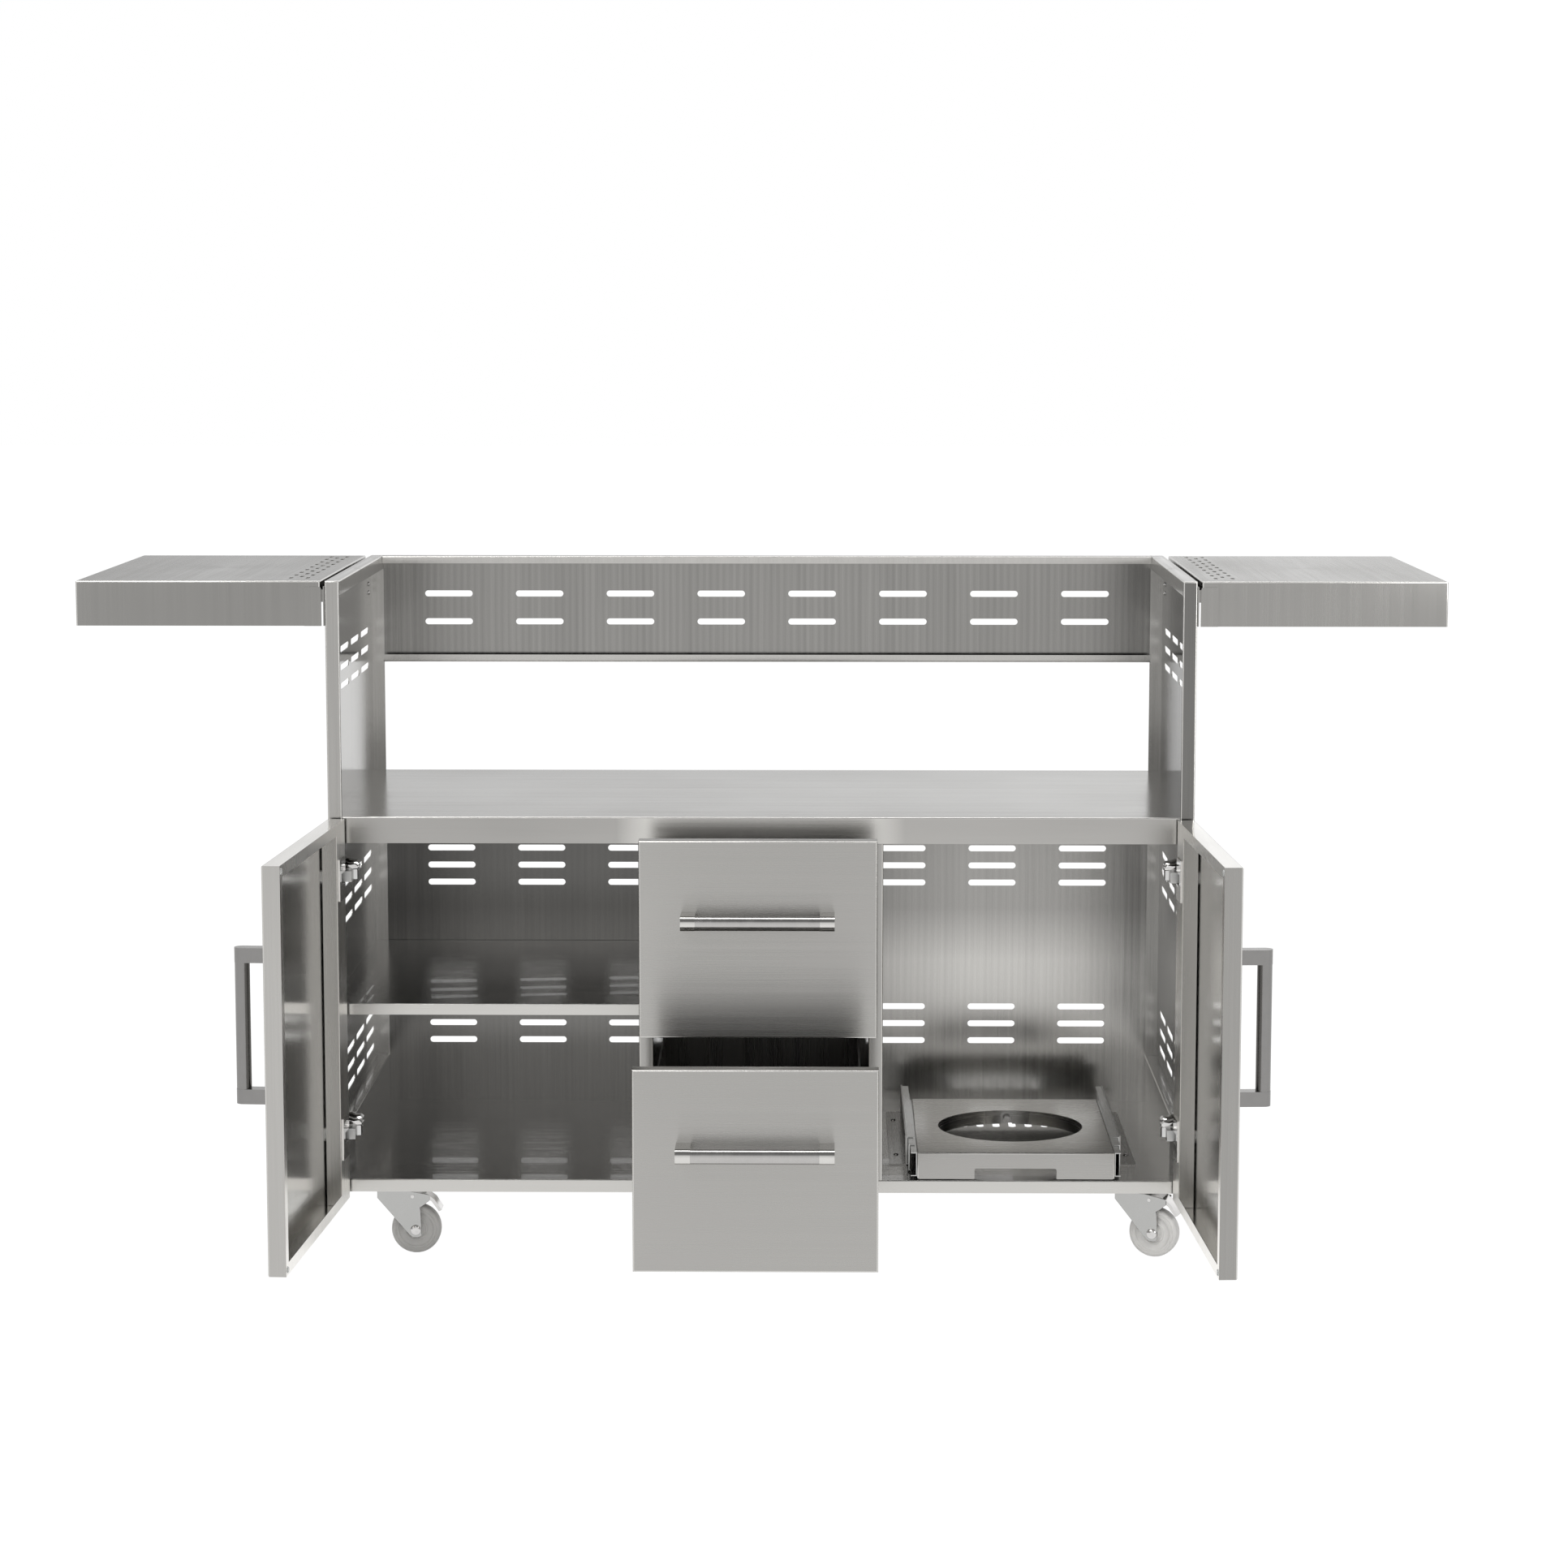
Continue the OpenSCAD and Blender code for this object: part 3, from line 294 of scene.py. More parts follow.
@dataclass(frozen=True)
class BrushedSteel:
    """Sheet steel with fine parallel scratches.

    Attributes:
        name: Material name.
        shade: Mean grey.
        roughness: Mean roughness.
        grain: Way that the brushing runs.
        fine: Share of the shade that the fine scratches change.
        bands: Share of the shade that the broad bands change.
        band_pitch: Bands in a metre.
        clouds: Share of the shade that slow patches change.
        stretch: How far reflections are drawn out across the scratches.
        pitch: Fine scratches in a metre.
        ripples: Share of the shade that regular stripes change.
        ridges: Depth of the deeper scratches in millimetres, which also draw reflections out.
        coat: Weight of a thin smooth film that mirrors at a flat angle.
        glare: Share of the usual glare at a flat angle.
        painted_fades: Painted light and shade over the cart's width, depth or height.
    """

    name: str
    shade: float
    roughness: float
    grain: Grain
    fine: float = 0.10
    bands: float = 0.06
    band_pitch: float = 55.0
    clouds: float = 0.05
    stretch: float = 0.55
    pitch: float = 620.0
    ripples: float = 0.0
    ridges: float = 0.0
    coat: float = 0.0
    glare: float = 1.0
    painted_fades: tuple[PaintedFade, ...] = ()

    # A noise pattern stays near its middle, so its share of the shade is taken this much larger
    FINE_GAIN: ClassVar[float] = 2.6
    BAND_GAIN: ClassVar[float] = 3.2
    CLOUD_GAIN: ClassVar[float] = 3.0
    # Upward share of the direction of a face that counts as level
    LEVEL_FACE: ClassVar[float] = 0.7
    # Patches, deeper scratches and stripes in a metre
    CLOUD_PITCH: ClassVar[float] = 3.5
    RIDGE_PITCH: ClassVar[float] = 1500.0
    RIPPLE_PITCH: ClassVar[float] = 98.0
    # The same along the scratches, for fine scratches, broad bands and deeper scratches
    FINE_ALONG: ClassVar[float] = 5.0
    BAND_ALONG: ClassVar[float] = 0.6
    RIDGE_ALONG: ClassVar[float] = 3.0
    # How far the slow patches push the stripes sideways, as an angle of their wave
    RIPPLE_WANDER: ClassVar[float] = 4.0
    # Strength and depth of the fine scratches' relief
    RELIEF: ClassVar[Pair] = (0.05, 0.2 * MM)
    COAT_ROUGHNESS: ClassVar[float] = 0.03
    # Share of a turn that the drawn-out reflections are turned by on level brushing
    QUARTER_TURN: ClassVar[float] = 0.25

    def scales(self, across: float, along: float) -> tuple[Triple, Triple]:
        """Scale of the pattern on upright and on level faces.

        Args:
            across: Features in a metre across the scratches.
            along: Features in a metre along the scratches.

        Returns:
            The scales for upright faces and for level faces.
        """
        if self.grain is Grain.LEVEL:
            return (along, along, across), (along, across, along)
        return (across, across, along), (across, along, along)

    def pattern(self, sheet: ShaderSheet, place: Value, level: Value, across: float, along: float,
                detail: float) -> Value:
        """A streaked pattern that follows the grain on every face.

        Args:
            sheet: The shader sheet.
            place: Position on the object.
            level: 1 on level faces.
            across: Features in a metre across the scratches.
            along: Features in a metre along the scratches.
            detail: Number of finer layers.

        Returns:
            A value about 0.
        """
        upright_scale, level_scale = self.scales(across, along)
        upright = sheet.noise(sheet.scaled(place, upright_scale), 1.0, detail)
        flat = sheet.noise(sheet.scaled(place, level_scale), 1.0, detail)
        return sheet.blend_value(level, upright, flat) - 0.5

    def tone(self, sheet: ShaderSheet, place: Value, fine: Value, bands: Value, clouds: Value) -> Value:
        """Brightness over the sheet, with its painted light and shade.

        Args:
            sheet: The shader sheet.
            place: Position on the object.
            fine: The fine scratches' pattern.
            bands: The broad bands' pattern.
            clouds: The slow patches' pattern.

        Returns:
            A share of the shade, about 1.
        """
        scratched = fine * (self.FINE_GAIN * self.fine) + bands * (self.BAND_GAIN * self.bands)
        tone = scratched + clouds * (self.CLOUD_GAIN * self.clouds) + 1.0
        axes = sheet.node("ShaderNodeSeparateXYZ", {}, {"Vector": place})
        if self.ripples:
            turns = axes["X"] * (FULL_TURN * self.RIPPLE_PITCH) + clouds * self.RIPPLE_WANDER
            tone = tone + turns.sine() * self.ripples
        # These ramps paint light and shade into the colour, lighter or darker by place
        for painted_fade in self.painted_fades:
            passed = axes[painted_fade.axis].ramped(painted_fade.start, painted_fade.end)
            tone = tone * sheet.blend_value(passed, painted_fade.before, painted_fade.after)
        return tone

    def normal(self, sheet: ShaderSheet, place: Value, level: Value, fine: Value, bands: Value) -> Value:
        """Relief of the scratches, or of the deeper ridges where the finish has them.

        Args:
            sheet: The shader sheet.
            place: Position on the object.
            level: 1 on level faces.
            fine: The fine scratches' pattern.
            bands: The broad bands' pattern.

        Returns:
            The normal.
        """
        if self.ridges:
            ridges = self.pattern(sheet, place, level, self.RIDGE_PITCH, self.RIDGE_ALONG, 1.0)
            return sheet.relief(ridges, 1.0, self.ridges * MM)
        return sheet.relief(fine + bands * 0.3, *self.RELIEF)

    def material(self) -> bpy.types.Material:
        """Builds the material.

        Returns:
            The material.
        """
        made, sheet = new_material(self.name)
        here = sheet.node("ShaderNodeTexCoord", {}, {})
        place = here["Object"]
        facing = sheet.node("ShaderNodeSeparateXYZ", {}, {"Vector": here["Normal"]})["Z"]
        level = facing.size() > self.LEVEL_FACE
        fine = self.pattern(sheet, place, level, self.pitch, self.FINE_ALONG, 3.0)
        bands = self.pattern(sheet, place, level, self.band_pitch, self.BAND_ALONG, 1.5)
        clouds = sheet.noise(place, self.CLOUD_PITCH, 2.0) - 0.5
        tone = self.tone(sheet, place, fine, bands, clouds)
        rough = (fine * 0.5 + clouds * 0.6 + bands * 0.3 + 1.0) * self.roughness
        sheet.surface({
            "Base Color": sheet.blend_colour((tone * 0.5).clamped(), BLACK, warm_grey(self.shade * 2.0)),
            "Metallic": 1.0,
            "Roughness": rough.clamped(),
            "Normal": self.normal(sheet, place, level, fine, bands),
            "Anisotropic": self.stretch,
            "Anisotropic Rotation": self.QUARTER_TURN if self.grain is Grain.LEVEL else 0.0,
            "Coat Weight": self.coat,
            "Coat Roughness": self.COAT_ROUGHNESS,
            "Specular Tint": plain(self.glare),
        })
        return made


@dataclass(frozen=True)
class PlatedMetal:
    """Chromed, zinc plated or polished metal with faint blotches and fine pits.

    Attributes:
        name: Material name.
        tint: Mean colour.
        roughness: Mean roughness.
        mottle: Share of the tint that the blotches change.
        grain: Scratches in a metre, along the piece's width.
    """

    name: str
    tint: Colour
    roughness: float
    mottle: float
    grain: float = 0.0

    BLOTCHES: ClassVar[float] = 60.0
    PITS: ClassVar[float] = 900.0

    def material(self) -> bpy.types.Material:
        """Builds the material.

        Returns:
            The material.
        """
        made, sheet = new_material(self.name)
        place = sheet.node("ShaderNodeTexCoord", {}, {})["Object"]
        blotch = sheet.noise(place, self.BLOTCHES, 3.0) - 0.5
        speck = sheet.noise(place, self.PITS, 1.0) - 0.5
        if self.grain:
            scratched = sheet.scaled(place, (self.grain, self.BLOTCHES, self.BLOTCHES))
            speck = sheet.noise(scratched, 1.0, 2.0) - 0.5
        tone = (blotch * 1.6 + speck * 0.8 + 0.5).clamped()
        dark, light = varied(self.tint, -self.mottle), varied(self.tint, self.mottle)
        sheet.surface({
            "Base Color": sheet.blend_colour(tone, dark, light),
            "Metallic": 1.0,
            "Roughness": (blotch * 0.14 + speck * 0.08 + self.roughness).clamped(),
            "Normal": sheet.relief(speck + blotch, 0.05, 0.3 * MM),
        })
        return made


@dataclass(frozen=True)
class MouldedPlastic:
    """Moulded nylon or clear soft plastic.

    Attributes:
        name: Material name.
        tint: Mean colour.
        roughness: Mean roughness.
        clear: How much light goes through.
    """

    name: str
    tint: Colour
    roughness: float
    clear: float = 0.0

    CLOUDS: ClassVar[float] = 45.0
    SPECKS: ClassVar[float] = 1400.0

    def material(self) -> bpy.types.Material:
        """Builds the material.

        Returns:
            The material.
        """
        made, sheet = new_material(self.name)
        place = sheet.node("ShaderNodeTexCoord", {}, {})["Object"]
        cloud = sheet.noise(place, self.CLOUDS, 3.0) - 0.5
        speck = sheet.noise(place, self.SPECKS, 2.0) - 0.5
        tone = (cloud * 1.2 + speck * 0.7 + 0.5).clamped()
        sheet.surface({
            "Base Color": sheet.blend_colour(tone, varied(self.tint, -0.12), varied(self.tint, 0.1)),
            "Roughness": (cloud * 0.16 + speck * 0.10 + self.roughness).clamped(),
            "Normal": sheet.relief(speck, 0.12, 0.3 * MM),
            "Transmission Weight": self.clear,
        })
        return made


class Finish(Enum):
    """Finishes of the cart, each made once."""

    SIDE = BrushedSteel("side_sheet", 0.36, 0.20, Grain.UPRIGHT, bands=0.03, band_pitch=70.0)
    # Inner faces of the left panel and upstand: the side steel with painted shade, half as light below the
    # deck
    LEFT_WALL = BrushedSteel(
        "left_wall_painted_shade", 0.36, 0.16, Grain.UPRIGHT, bands=0.03, band_pitch=70.0,
        painted_fades=(PaintedFade("Z", DECK_TOP - 0.03, DECK_TOP, 0.50, 0.92),))
    # Inner faces of the right panel and upstand: a darker copy of the side steel with less glare, painted
    # shade
    RIGHT_WALL = BrushedSteel(
        "right_wall_painted_shade", 0.24, 0.16, Grain.UPRIGHT, bands=0.03, band_pitch=70.0, glare=0.65)
    # The right panel's front flange: a darker copy of the side steel, painted shade
    RIGHT_POST = BrushedSteel("right_post_painted_shade", 0.17, 0.20, Grain.UPRIGHT, bands=0.03, band_pitch=70.0)
    BACK = BrushedSteel("back_sheet", 0.26, 0.20, Grain.UPRIGHT, bands=0.08, band_pitch=60.0, ripples=0.05)
    # Lower back panel: a lighter copy of the back steel, darker on the left and graded up its height, painted
    # light and shade
    LOW_BACK = BrushedSteel(
        "low_back_painted_shading", 0.60, 0.20, Grain.UPRIGHT, bands=0.08, band_pitch=60.0, ripples=0.025,
        painted_fades=(PaintedFade("X", -0.15, 0.30, 0.37, 1.0), PaintedFade("Z", 0.34, 0.42, 1.0, 0.62),
               PaintedFade("Z", 0.49, 0.57, 1.0, 0.92), PaintedFade("Z", 0.20, 0.32, 0.75, 0.85)))
    # Deck: a little darker towards the back, painted shade
    DECK = BrushedSteel(
        "deck_sheet", 0.32, 0.20, Grain.LEVEL, fine=0.03, bands=0.012, clouds=0.03, stretch=0.1,
        painted_fades=(PaintedFade("Y", 0.30, 0.48, 1.0, 0.86),))
    FLOOR = BrushedSteel(
        "floor_sheet", 0.42, 0.03, Grain.LEVEL, fine=0.03, bands=0.012, stretch=0.0, ridges=0.22, coat=0.35)
    # Middle shelf: a lighter copy of the floor's steel, painted light
    MIDDLE_SHELF = BrushedSteel(
        "middle_shelf_lit_sheet", 0.54, 0.03, Grain.LEVEL, fine=0.03, bands=0.012, stretch=0.0, ridges=0.22,
        coat=0.35)
    # Front lips of the floor and middle shelf: a rougher and lighter copy of their steel, the lightness
    # painted light
    LIP = BrushedSteel("lip_sheet", 0.54, 0.24, Grain.LEVEL, fine=0.03, bands=0.012)
    # The deck's front lip: a lighter copy of the deck's steel, darker towards both ends, painted light and
    # shade
    DECK_LIP = BrushedSteel(
        "deck_lip_sheet", 0.60, 0.20, Grain.LEVEL, fine=0.03, bands=0.012, clouds=0.08,
        painted_fades=(PaintedFade("X", -0.20, -0.16, 0.61, 1.0), PaintedFade("X", 0.16, 0.20, 1.0, 0.66)))
    # Top lips, back flanges and the upper back panel's fold: a lighter copy of the side steel, painted light
    FOLD = BrushedSteel("fold_sheet", 0.47, 0.22, Grain.UPRIGHT, fine=0.06, bands=0.03)
    FRONT = BrushedSteel(
        "front_sheet", 0.385, 0.27, Grain.LEVEL, fine=0.02, bands=0.004, band_pitch=120.0, stretch=0.85,
        pitch=1500.0)
    # Tray top: a lighter copy of its steel, painted light; its front lip below is a darker copy, painted
    # shade
    TRAY = BrushedSteel(
        "tray_sheet", 0.60, 0.26, Grain.LEVEL, fine=0.02, bands=0.006, clouds=0.08, stretch=0.1, pitch=1500.0)
    TRAY_LIP = BrushedSteel(
        "tray_lip_sheet", 0.36, 0.26, Grain.LEVEL, fine=0.02, bands=0.006, clouds=0.08, pitch=1500.0)
    # The doors' inner faces and hinge-side lips: much lighter copies of the steel than their outer faces,
    # painted light; the lips are rougher
    DOOR = BrushedSteel("door_sheet", 0.86, 0.15, Grain.UPRIGHT, fine=0.05, bands=0.03)
    DOOR_LIP = BrushedSteel("door_lip", 0.90, 0.30, Grain.UPRIGHT, fine=0.06, bands=0.03)
    # The doors' narrow side faces: a lighter copy on the left and a darker one on the right and in the
    # channels, painted light and shade
    LEFT_DOOR_SIDE = BrushedSteel("left_door_side_lit", 0.43, 0.24, Grain.UPRIGHT, fine=0.06, bands=0.03)
    RIGHT_DOOR_SIDE = BrushedSteel("door_side_painted_shade", 0.31, 0.24, Grain.UPRIGHT, fine=0.06, bands=0.03)
    # Side shelves, brackets and rails: a little darker on the left and lighter on the right, painted light
    # and shade
    SHELF = BrushedSteel(
        "shelf_sheet", 0.285, 0.26, Grain.UPRIGHT, fine=0.04, bands=0.03, band_pitch=90.0, stretch=0.3,
        painted_fades=(PaintedFade("X", -0.5, 0.5, 0.93, 1.06),))
    BOX = BrushedSteel("box_sheet", 0.30, 0.28, Grain.UPRIGHT, bands=0.03)
    # Cut edges and bends of the sheets: a brighter, smoother metal that paints the highlight they catch
    EDGE = PlatedMetal("edge_painted_highlight", (0.56, 0.55, 0.53), 0.22, 0.05)
    POLISH = PlatedMetal("polished_end", (0.62, 0.61, 0.59), 0.10, 0.03)
    BAR = PlatedMetal("satin_bar", (0.46, 0.45, 0.44), 0.20, 0.05, grain=900.0)
    # Door handles: a darker copy of the drawers' satin bar, painted shade
    DOOR_BAR = PlatedMetal("door_bar", (0.25, 0.245, 0.24), 0.20, 0.05, grain=900.0)
    PLATED = PlatedMetal("bright_plating", (0.46, 0.46, 0.45), 0.20, 0.04)
    ARM = PlatedMetal("arm_plating", (0.60, 0.60, 0.59), 0.34, 0.08)
    FORK = PlatedMetal("fork_plating", (0.45, 0.45, 0.44), 0.24, 0.02)
    CHROME = PlatedMetal("hinge_chrome", (0.62, 0.61, 0.60), 0.10, 0.10)
    NYLON = MouldedPlastic("wheel_nylon", (0.70, 0.69, 0.67), 0.48)
    CLEAR = MouldedPlastic("clear_bumper", (0.85, 0.87, 0.86), 0.25, 0.6)


class Workshop:
    """Makes each finish once and dresses pieces in it."""

    def __init__(self) -> None:
        """Starts with no finish made."""
        self.made: dict[Finish, bpy.types.Material] = {}

    def finish(self, finish: Finish) -> bpy.types.Material:
        """Makes a finish's material the first time that it is asked for.

        Args:
            finish: The finish.

        Returns:
            Its material.
        """
        if finish not in self.made:
            self.made[finish] = finish.value.material()
        return self.made[finish]

    def dress(self, piece: bpy.types.Object, finish: Finish, angle: float = 30.0) -> None:
        """Gives a piece its finish and smooth curved faces, and a folded sheet its edges in a brighter finish
        that paints their highlight.

        Args:
            piece: A CAD node or a built piece.
            finish: The finish.
            angle: Angle in degrees above which an edge stays sharp.
        """
        piece.data.materials.clear()
        piece.data.materials.append(self.finish(finish))
        for face in piece.data.polygons:
            face.use_smooth = True
        if isinstance(finish.value, BrushedSteel):
            self.brighten_edges(piece)
        weld = piece.modifiers.new("weld", "WELD")
        weld.merge_threshold = WELD
        split = piece.modifiers.new("sharp_edges", "EDGE_SPLIT")
        split.split_angle = math.radians(angle)
        LOG.info("%s dressed in %s", piece.name, finish.value.name)

    def brighten_edges(self, piece: bpy.types.Object) -> None:
        """Gives the cut edges and the bends of a sheet their own brighter finish, a painted highlight along
        them.

        Args:
            piece: The sheet.
        """
        piece.data.materials.append(self.finish(Finish.EDGE))
        for i in narrow_faces(piece.data, EDGE_WIDTH):
            piece.data.polygons[i].material_index = EDGE_SLOT

    def dress_patch(self, piece: bpy.types.Object, patch: "Patch") -> None:
        """Gives some faces of a sheet another finish.

        Args:
            piece: The sheet, already dressed.
            patch: Which faces, and their finish.
        """
        piece.data.materials.append(self.finish(patch.finish))
        facing = Vector(patch.facing)
        chosen = [face for face in piece.data.polygons
                  if face.material_index != EDGE_SLOT and face.normal.dot(facing) > SAME_WAY
                  and all(a < c < b for a, c, b in zip(patch.low, face.center, patch.high))]
        if patch.foremost:
            flatness = 0.5 * MM
            outermost = max(face.normal.dot(face.center) for face in chosen)
            chosen = [face for face in chosen if face.normal.dot(face.center) > outermost - flatness]
        for face in chosen:
            face.material_index = len(piece.data.materials) - 1

    def polish_ends(self, piece: bpy.types.Object, finish: Finish, length: float) -> None:
        """Gives both ends of a long piece another finish.

        Args:
            piece: The piece, already dressed.
            finish: The ends' finish.
            length: Length of an end.
        """
        piece.data.materials.append(self.finish(finish))
        points = points_of(piece.data)
        low, high = points.min(0), points.max(0)
        axis = int(np.argmax(high - low))
        for face in piece.data.polygons:
            if min(face.center[axis] - low[axis], high[axis] - face.center[axis]) < length:
                face.material_index = len(piece.data.materials) - 1


def points_of(mesh: bpy.types.Mesh) -> np.ndarray:
    """Places of a mesh's vertices, one a row."""
    return np.array([vertex.co[:] for vertex in mesh.vertices])


def narrow_faces(mesh: bpy.types.Mesh, width: float) -> list[int]:
    """Faces in a flat region that is narrower than a width, such as a sheet's cut edge or a bend's facet.

    Args:
        mesh: The mesh to look at.
        width: Width of a region, in metres.

    Returns:
        The faces' numbers.
    """
    points = [tuple(round(v.co[k] / WELD) for k in range(3)) for v in mesh.vertices]
    sides: dict[tuple, list[int]] = {}
    for face in mesh.polygons:
        loop = [points[i] for i in face.vertices]
        for a, b in zip(loop, loop[1:] + loop[:1]):
            sides.setdefault((min(a, b), max(a, b)), []).append(face.index)
    region = list(range(len(mesh.polygons)))

    def root(i: int) -> int:
        """Finds the face that stands for a face's region.

        Args:
            i: The face's number.

        Returns:
            Number of the face that stands for the region.
        """
        while region[i] != i:
            region[i] = region[region[i]]
            i = region[i]
        return i

    def is_flat(faces: list[int]) -> bool:
        """Whether a side joins two faces of one plane."""
        normals = [mesh.polygons[i].normal for i in faces]
        return len(normals) == 2 and normals[0].dot(normals[1]) > ONE_PLANE

    flat = {key: is_flat(faces) for key, faces in sides.items()}
    for key, faces in sides.items():
        if flat[key]:
            region[root(faces[0])] = root(faces[1])
    area = np.zeros(len(region))
    outline = np.zeros(len(region))
    for face in mesh.polygons:
        area[root(face.index)] += face.area
    for key, faces in sides.items():
        if not flat[key]:
            length = (Vector(key[0]) - Vector(key[1])).length * WELD
            for face in faces:
                outline[root(face)] += length
    wide = 2 * area / np.maximum(outline, 1e-9)
    return [i for i in range(len(region)) if wide[root(i)] < width]


def mesh_piece(name: str, build: bmesh.types.BMesh) -> bpy.types.Object:
    """Makes an object of a finished bmesh.

    Args:
        name: The piece's name.
        build: The mesh, which is freed.

    Returns:
        The linked object.
    """
    mesh = bpy.data.meshes.new(name)
    bmesh.ops.recalc_face_normals(build, faces=build.faces)
    build.to_mesh(mesh)
    build.free()
    piece = bpy.data.objects.new(name, mesh)
    bpy.context.scene.collection.objects.link(piece)
    return piece


def lathe(build: bmesh.types.BMesh, profile: Sequence[Pair], place: Matrix, steps: int) -> None:
    """Turns a profile about the local Z axis.

    Args:
        build: The mesh to add to.
        profile: Radius and height of each point, in metres. A radius of 0 closes the end.
        place: Where the turned piece goes.
        steps: Steps in a turn.
    """
    rings = []
    for radius, height in profile:
        if radius <= 0:
            rings.append([build.verts.new(place @ Vector((0, 0, height)))])
            continue
        turns = (FULL_TURN * i / steps for i in range(steps))
        rings.append([build.verts.new(place @ Vector((radius * math.cos(a), radius * math.sin(a), height)))
                      for a in turns])
    for lower, upper in zip(rings, rings[1:]):
        for i in range(steps):
            j = (i + 1) % steps
            corners = [ring[k % len(ring)] for ring, k in ((lower, i), (lower, j), (upper, j), (upper, i))]
            unique = list(dict.fromkeys(corners))
            if len(unique) > 2:
                build.faces.new(unique)


def loft(build: bmesh.types.BMesh, rows: Sequence[Sequence[bmesh.types.BMVert]]) -> None:
    """Joins rows of vertices into an open skin with both ends closed.

    Args:
        build: The mesh to add to.
        rows: The rows, with as many vertices in each.
    """
    for first, second in zip(rows, rows[1:]):
        for i in range(len(first) - 1):
            build.faces.new((first[i], first[i + 1], second[i + 1], second[i]))
    build.faces.new(rows[0])
    build.faces.new(rows[-1])


def aim(direction: Vector) -> Matrix:
    """Rotation that turns the local Z axis to a direction."""
    return direction.to_track_quat("Z", "Y").to_matrix().to_4x4()


def solids(source: bpy.types.Object) -> list[np.ndarray]:
    """Splits the node's points into its solids.

    Args:
        source: The CAD node.

    Returns:
        The points of each solid.
    """
    build = bmesh.new()
    build.from_mesh(source.data)
    bmesh.ops.remove_doubles(build, verts=build.verts, dist=WELD)
    build.verts.ensure_lookup_table()
    seen: set[int] = set()
    groups = []
    for start in build.verts:
        if start.index in seen:
            continue
        stack, group = [start], []
        seen.add(start.index)
        while stack:
            vert = stack.pop()
            group.append(vert.co[:])
            for edge in vert.link_edges:
                other = edge.other_vert(vert)
                if other.index not in seen:
                    seen.add(other.index)
                    stack.append(other)
        groups.append(np.array(group))
    build.free()
    return groups


@dataclass(frozen=True)
class Patch:
    """Faces of a sheet that wear a finish of their own.

    Attributes:
        node: The CAD node.
        finish: The faces' finish.
        facing: The way that the faces look.
        low: Least X, Y and Z of a face's middle.
        high: Greatest X, Y and Z of a face's middle.
        foremost: Whether only the plane that lies furthest out counts.
    """

    node: str
    finish: Finish
    facing: Triple = (0.0, -1.0, 0.0)
    low: Triple = (-FAR, -FAR, -FAR)
    high: Triple = (FAR, FAR, FAR)
    foremost: bool = False


@dataclass
class Detail:
    """Something that is added to the dressed CAD nodes.

    Attributes:
        shop: Where finishes come from.
    """

    shop: Workshop

    def build(self, nodes: dict[str, bpy.types.Object]) -> None:
        """Builds and dresses what the detail adds.

        Args:
            nodes: The CAD nodes by name.
        """
        raise NotImplementedError


@dataclass
class Patches(Detail):
    """Lips, folds, inner walls and door faces that look unlike the rest of their sheet: most wear lighter or
    darker copies of its steel, painted light and shade.

    Attributes:
        post_back: The right side panel's front flange lies in front of this Y.
        back_fold: The upper back panel's folds lie in front of this Y.
        top_lip: The side panels' top lips lie above this Z.
        top_lip_out: They lie within this X.
        back_flange: The side panels' back flanges lie behind this Y.
        hinge_fold: The open doors' hinge-side folds lie behind this Y.
    """

    post_back: float = 0.0
    back_fold: float = 0.485
    top_lip: float = 0.93
    top_lip_out: float = 0.59
    back_flange: float = 0.40
    hinge_fold: float = -0.1

    def side_patches(self, side: str, way: float) -> list[Patch]:
        """The patches of one side panel and its door.

        Args:
            side: "left" or "right".
            way: 1 on the left and -1 on the right, the way that the inner faces look along X.

        Returns:
            The patches, in dressing order.
        """
        panel, door, inward = f"{side}_side_panel", f"{side}_door_pan", (way, 0.0, 0.0)
        wall = Finish.LEFT_WALL if side == "left" else Finish.RIGHT_WALL
        door_side = Finish.LEFT_DOOR_SIDE if side == "left" else Finish.RIGHT_DOOR_SIDE
        return [
            Patch(panel, wall, inward),
            Patch(panel, Finish.FOLD, inward, low=(-self.top_lip_out, -FAR, self.top_lip),
                  high=(self.top_lip_out, FAR, FAR)),
            Patch(panel, Finish.FOLD, low=(-FAR, self.back_flange, -FAR)),
            Patch(door, door_side),
            Patch(door, Finish.DOOR_LIP, inward, foremost=True),
            Patch(door, Finish.FRONT, (-way, 0.0, 0.0)),
            Patch(door, Finish.SIDE, (0.0, 1.0, 0.0), low=(-FAR, self.hinge_fold, -FAR)),
        ]

    def wanted(self) -> list[Patch]:
        """Lists the cart's patches.

        Returns:
            The patches, in dressing order.
        """
        return [
            Patch("floor_pan", Finish.LIP),
            Patch("middle_shelf", Finish.LIP),
            Patch("deck", Finish.DECK_LIP),
            Patch("tank_tray", Finish.TRAY_LIP),
            Patch("right_side_panel", Finish.RIGHT_POST, high=(FAR, self.post_back, FAR)),
            Patch("upper_back_panel", Finish.FOLD, high=(FAR, self.back_fold, FAR)),
            *self.side_patches("left", 1.0),
            *self.side_patches("right", -1.0),
        ]

    def build(self, nodes: dict[str, bpy.types.Object]) -> None:
        """Dresses the patches.

        Args:
            nodes: The CAD nodes by name.
        """
        for patch in self.wanted():
            self.shop.dress_patch(nodes[patch.node], patch)
        LOG.info("patches dressed")


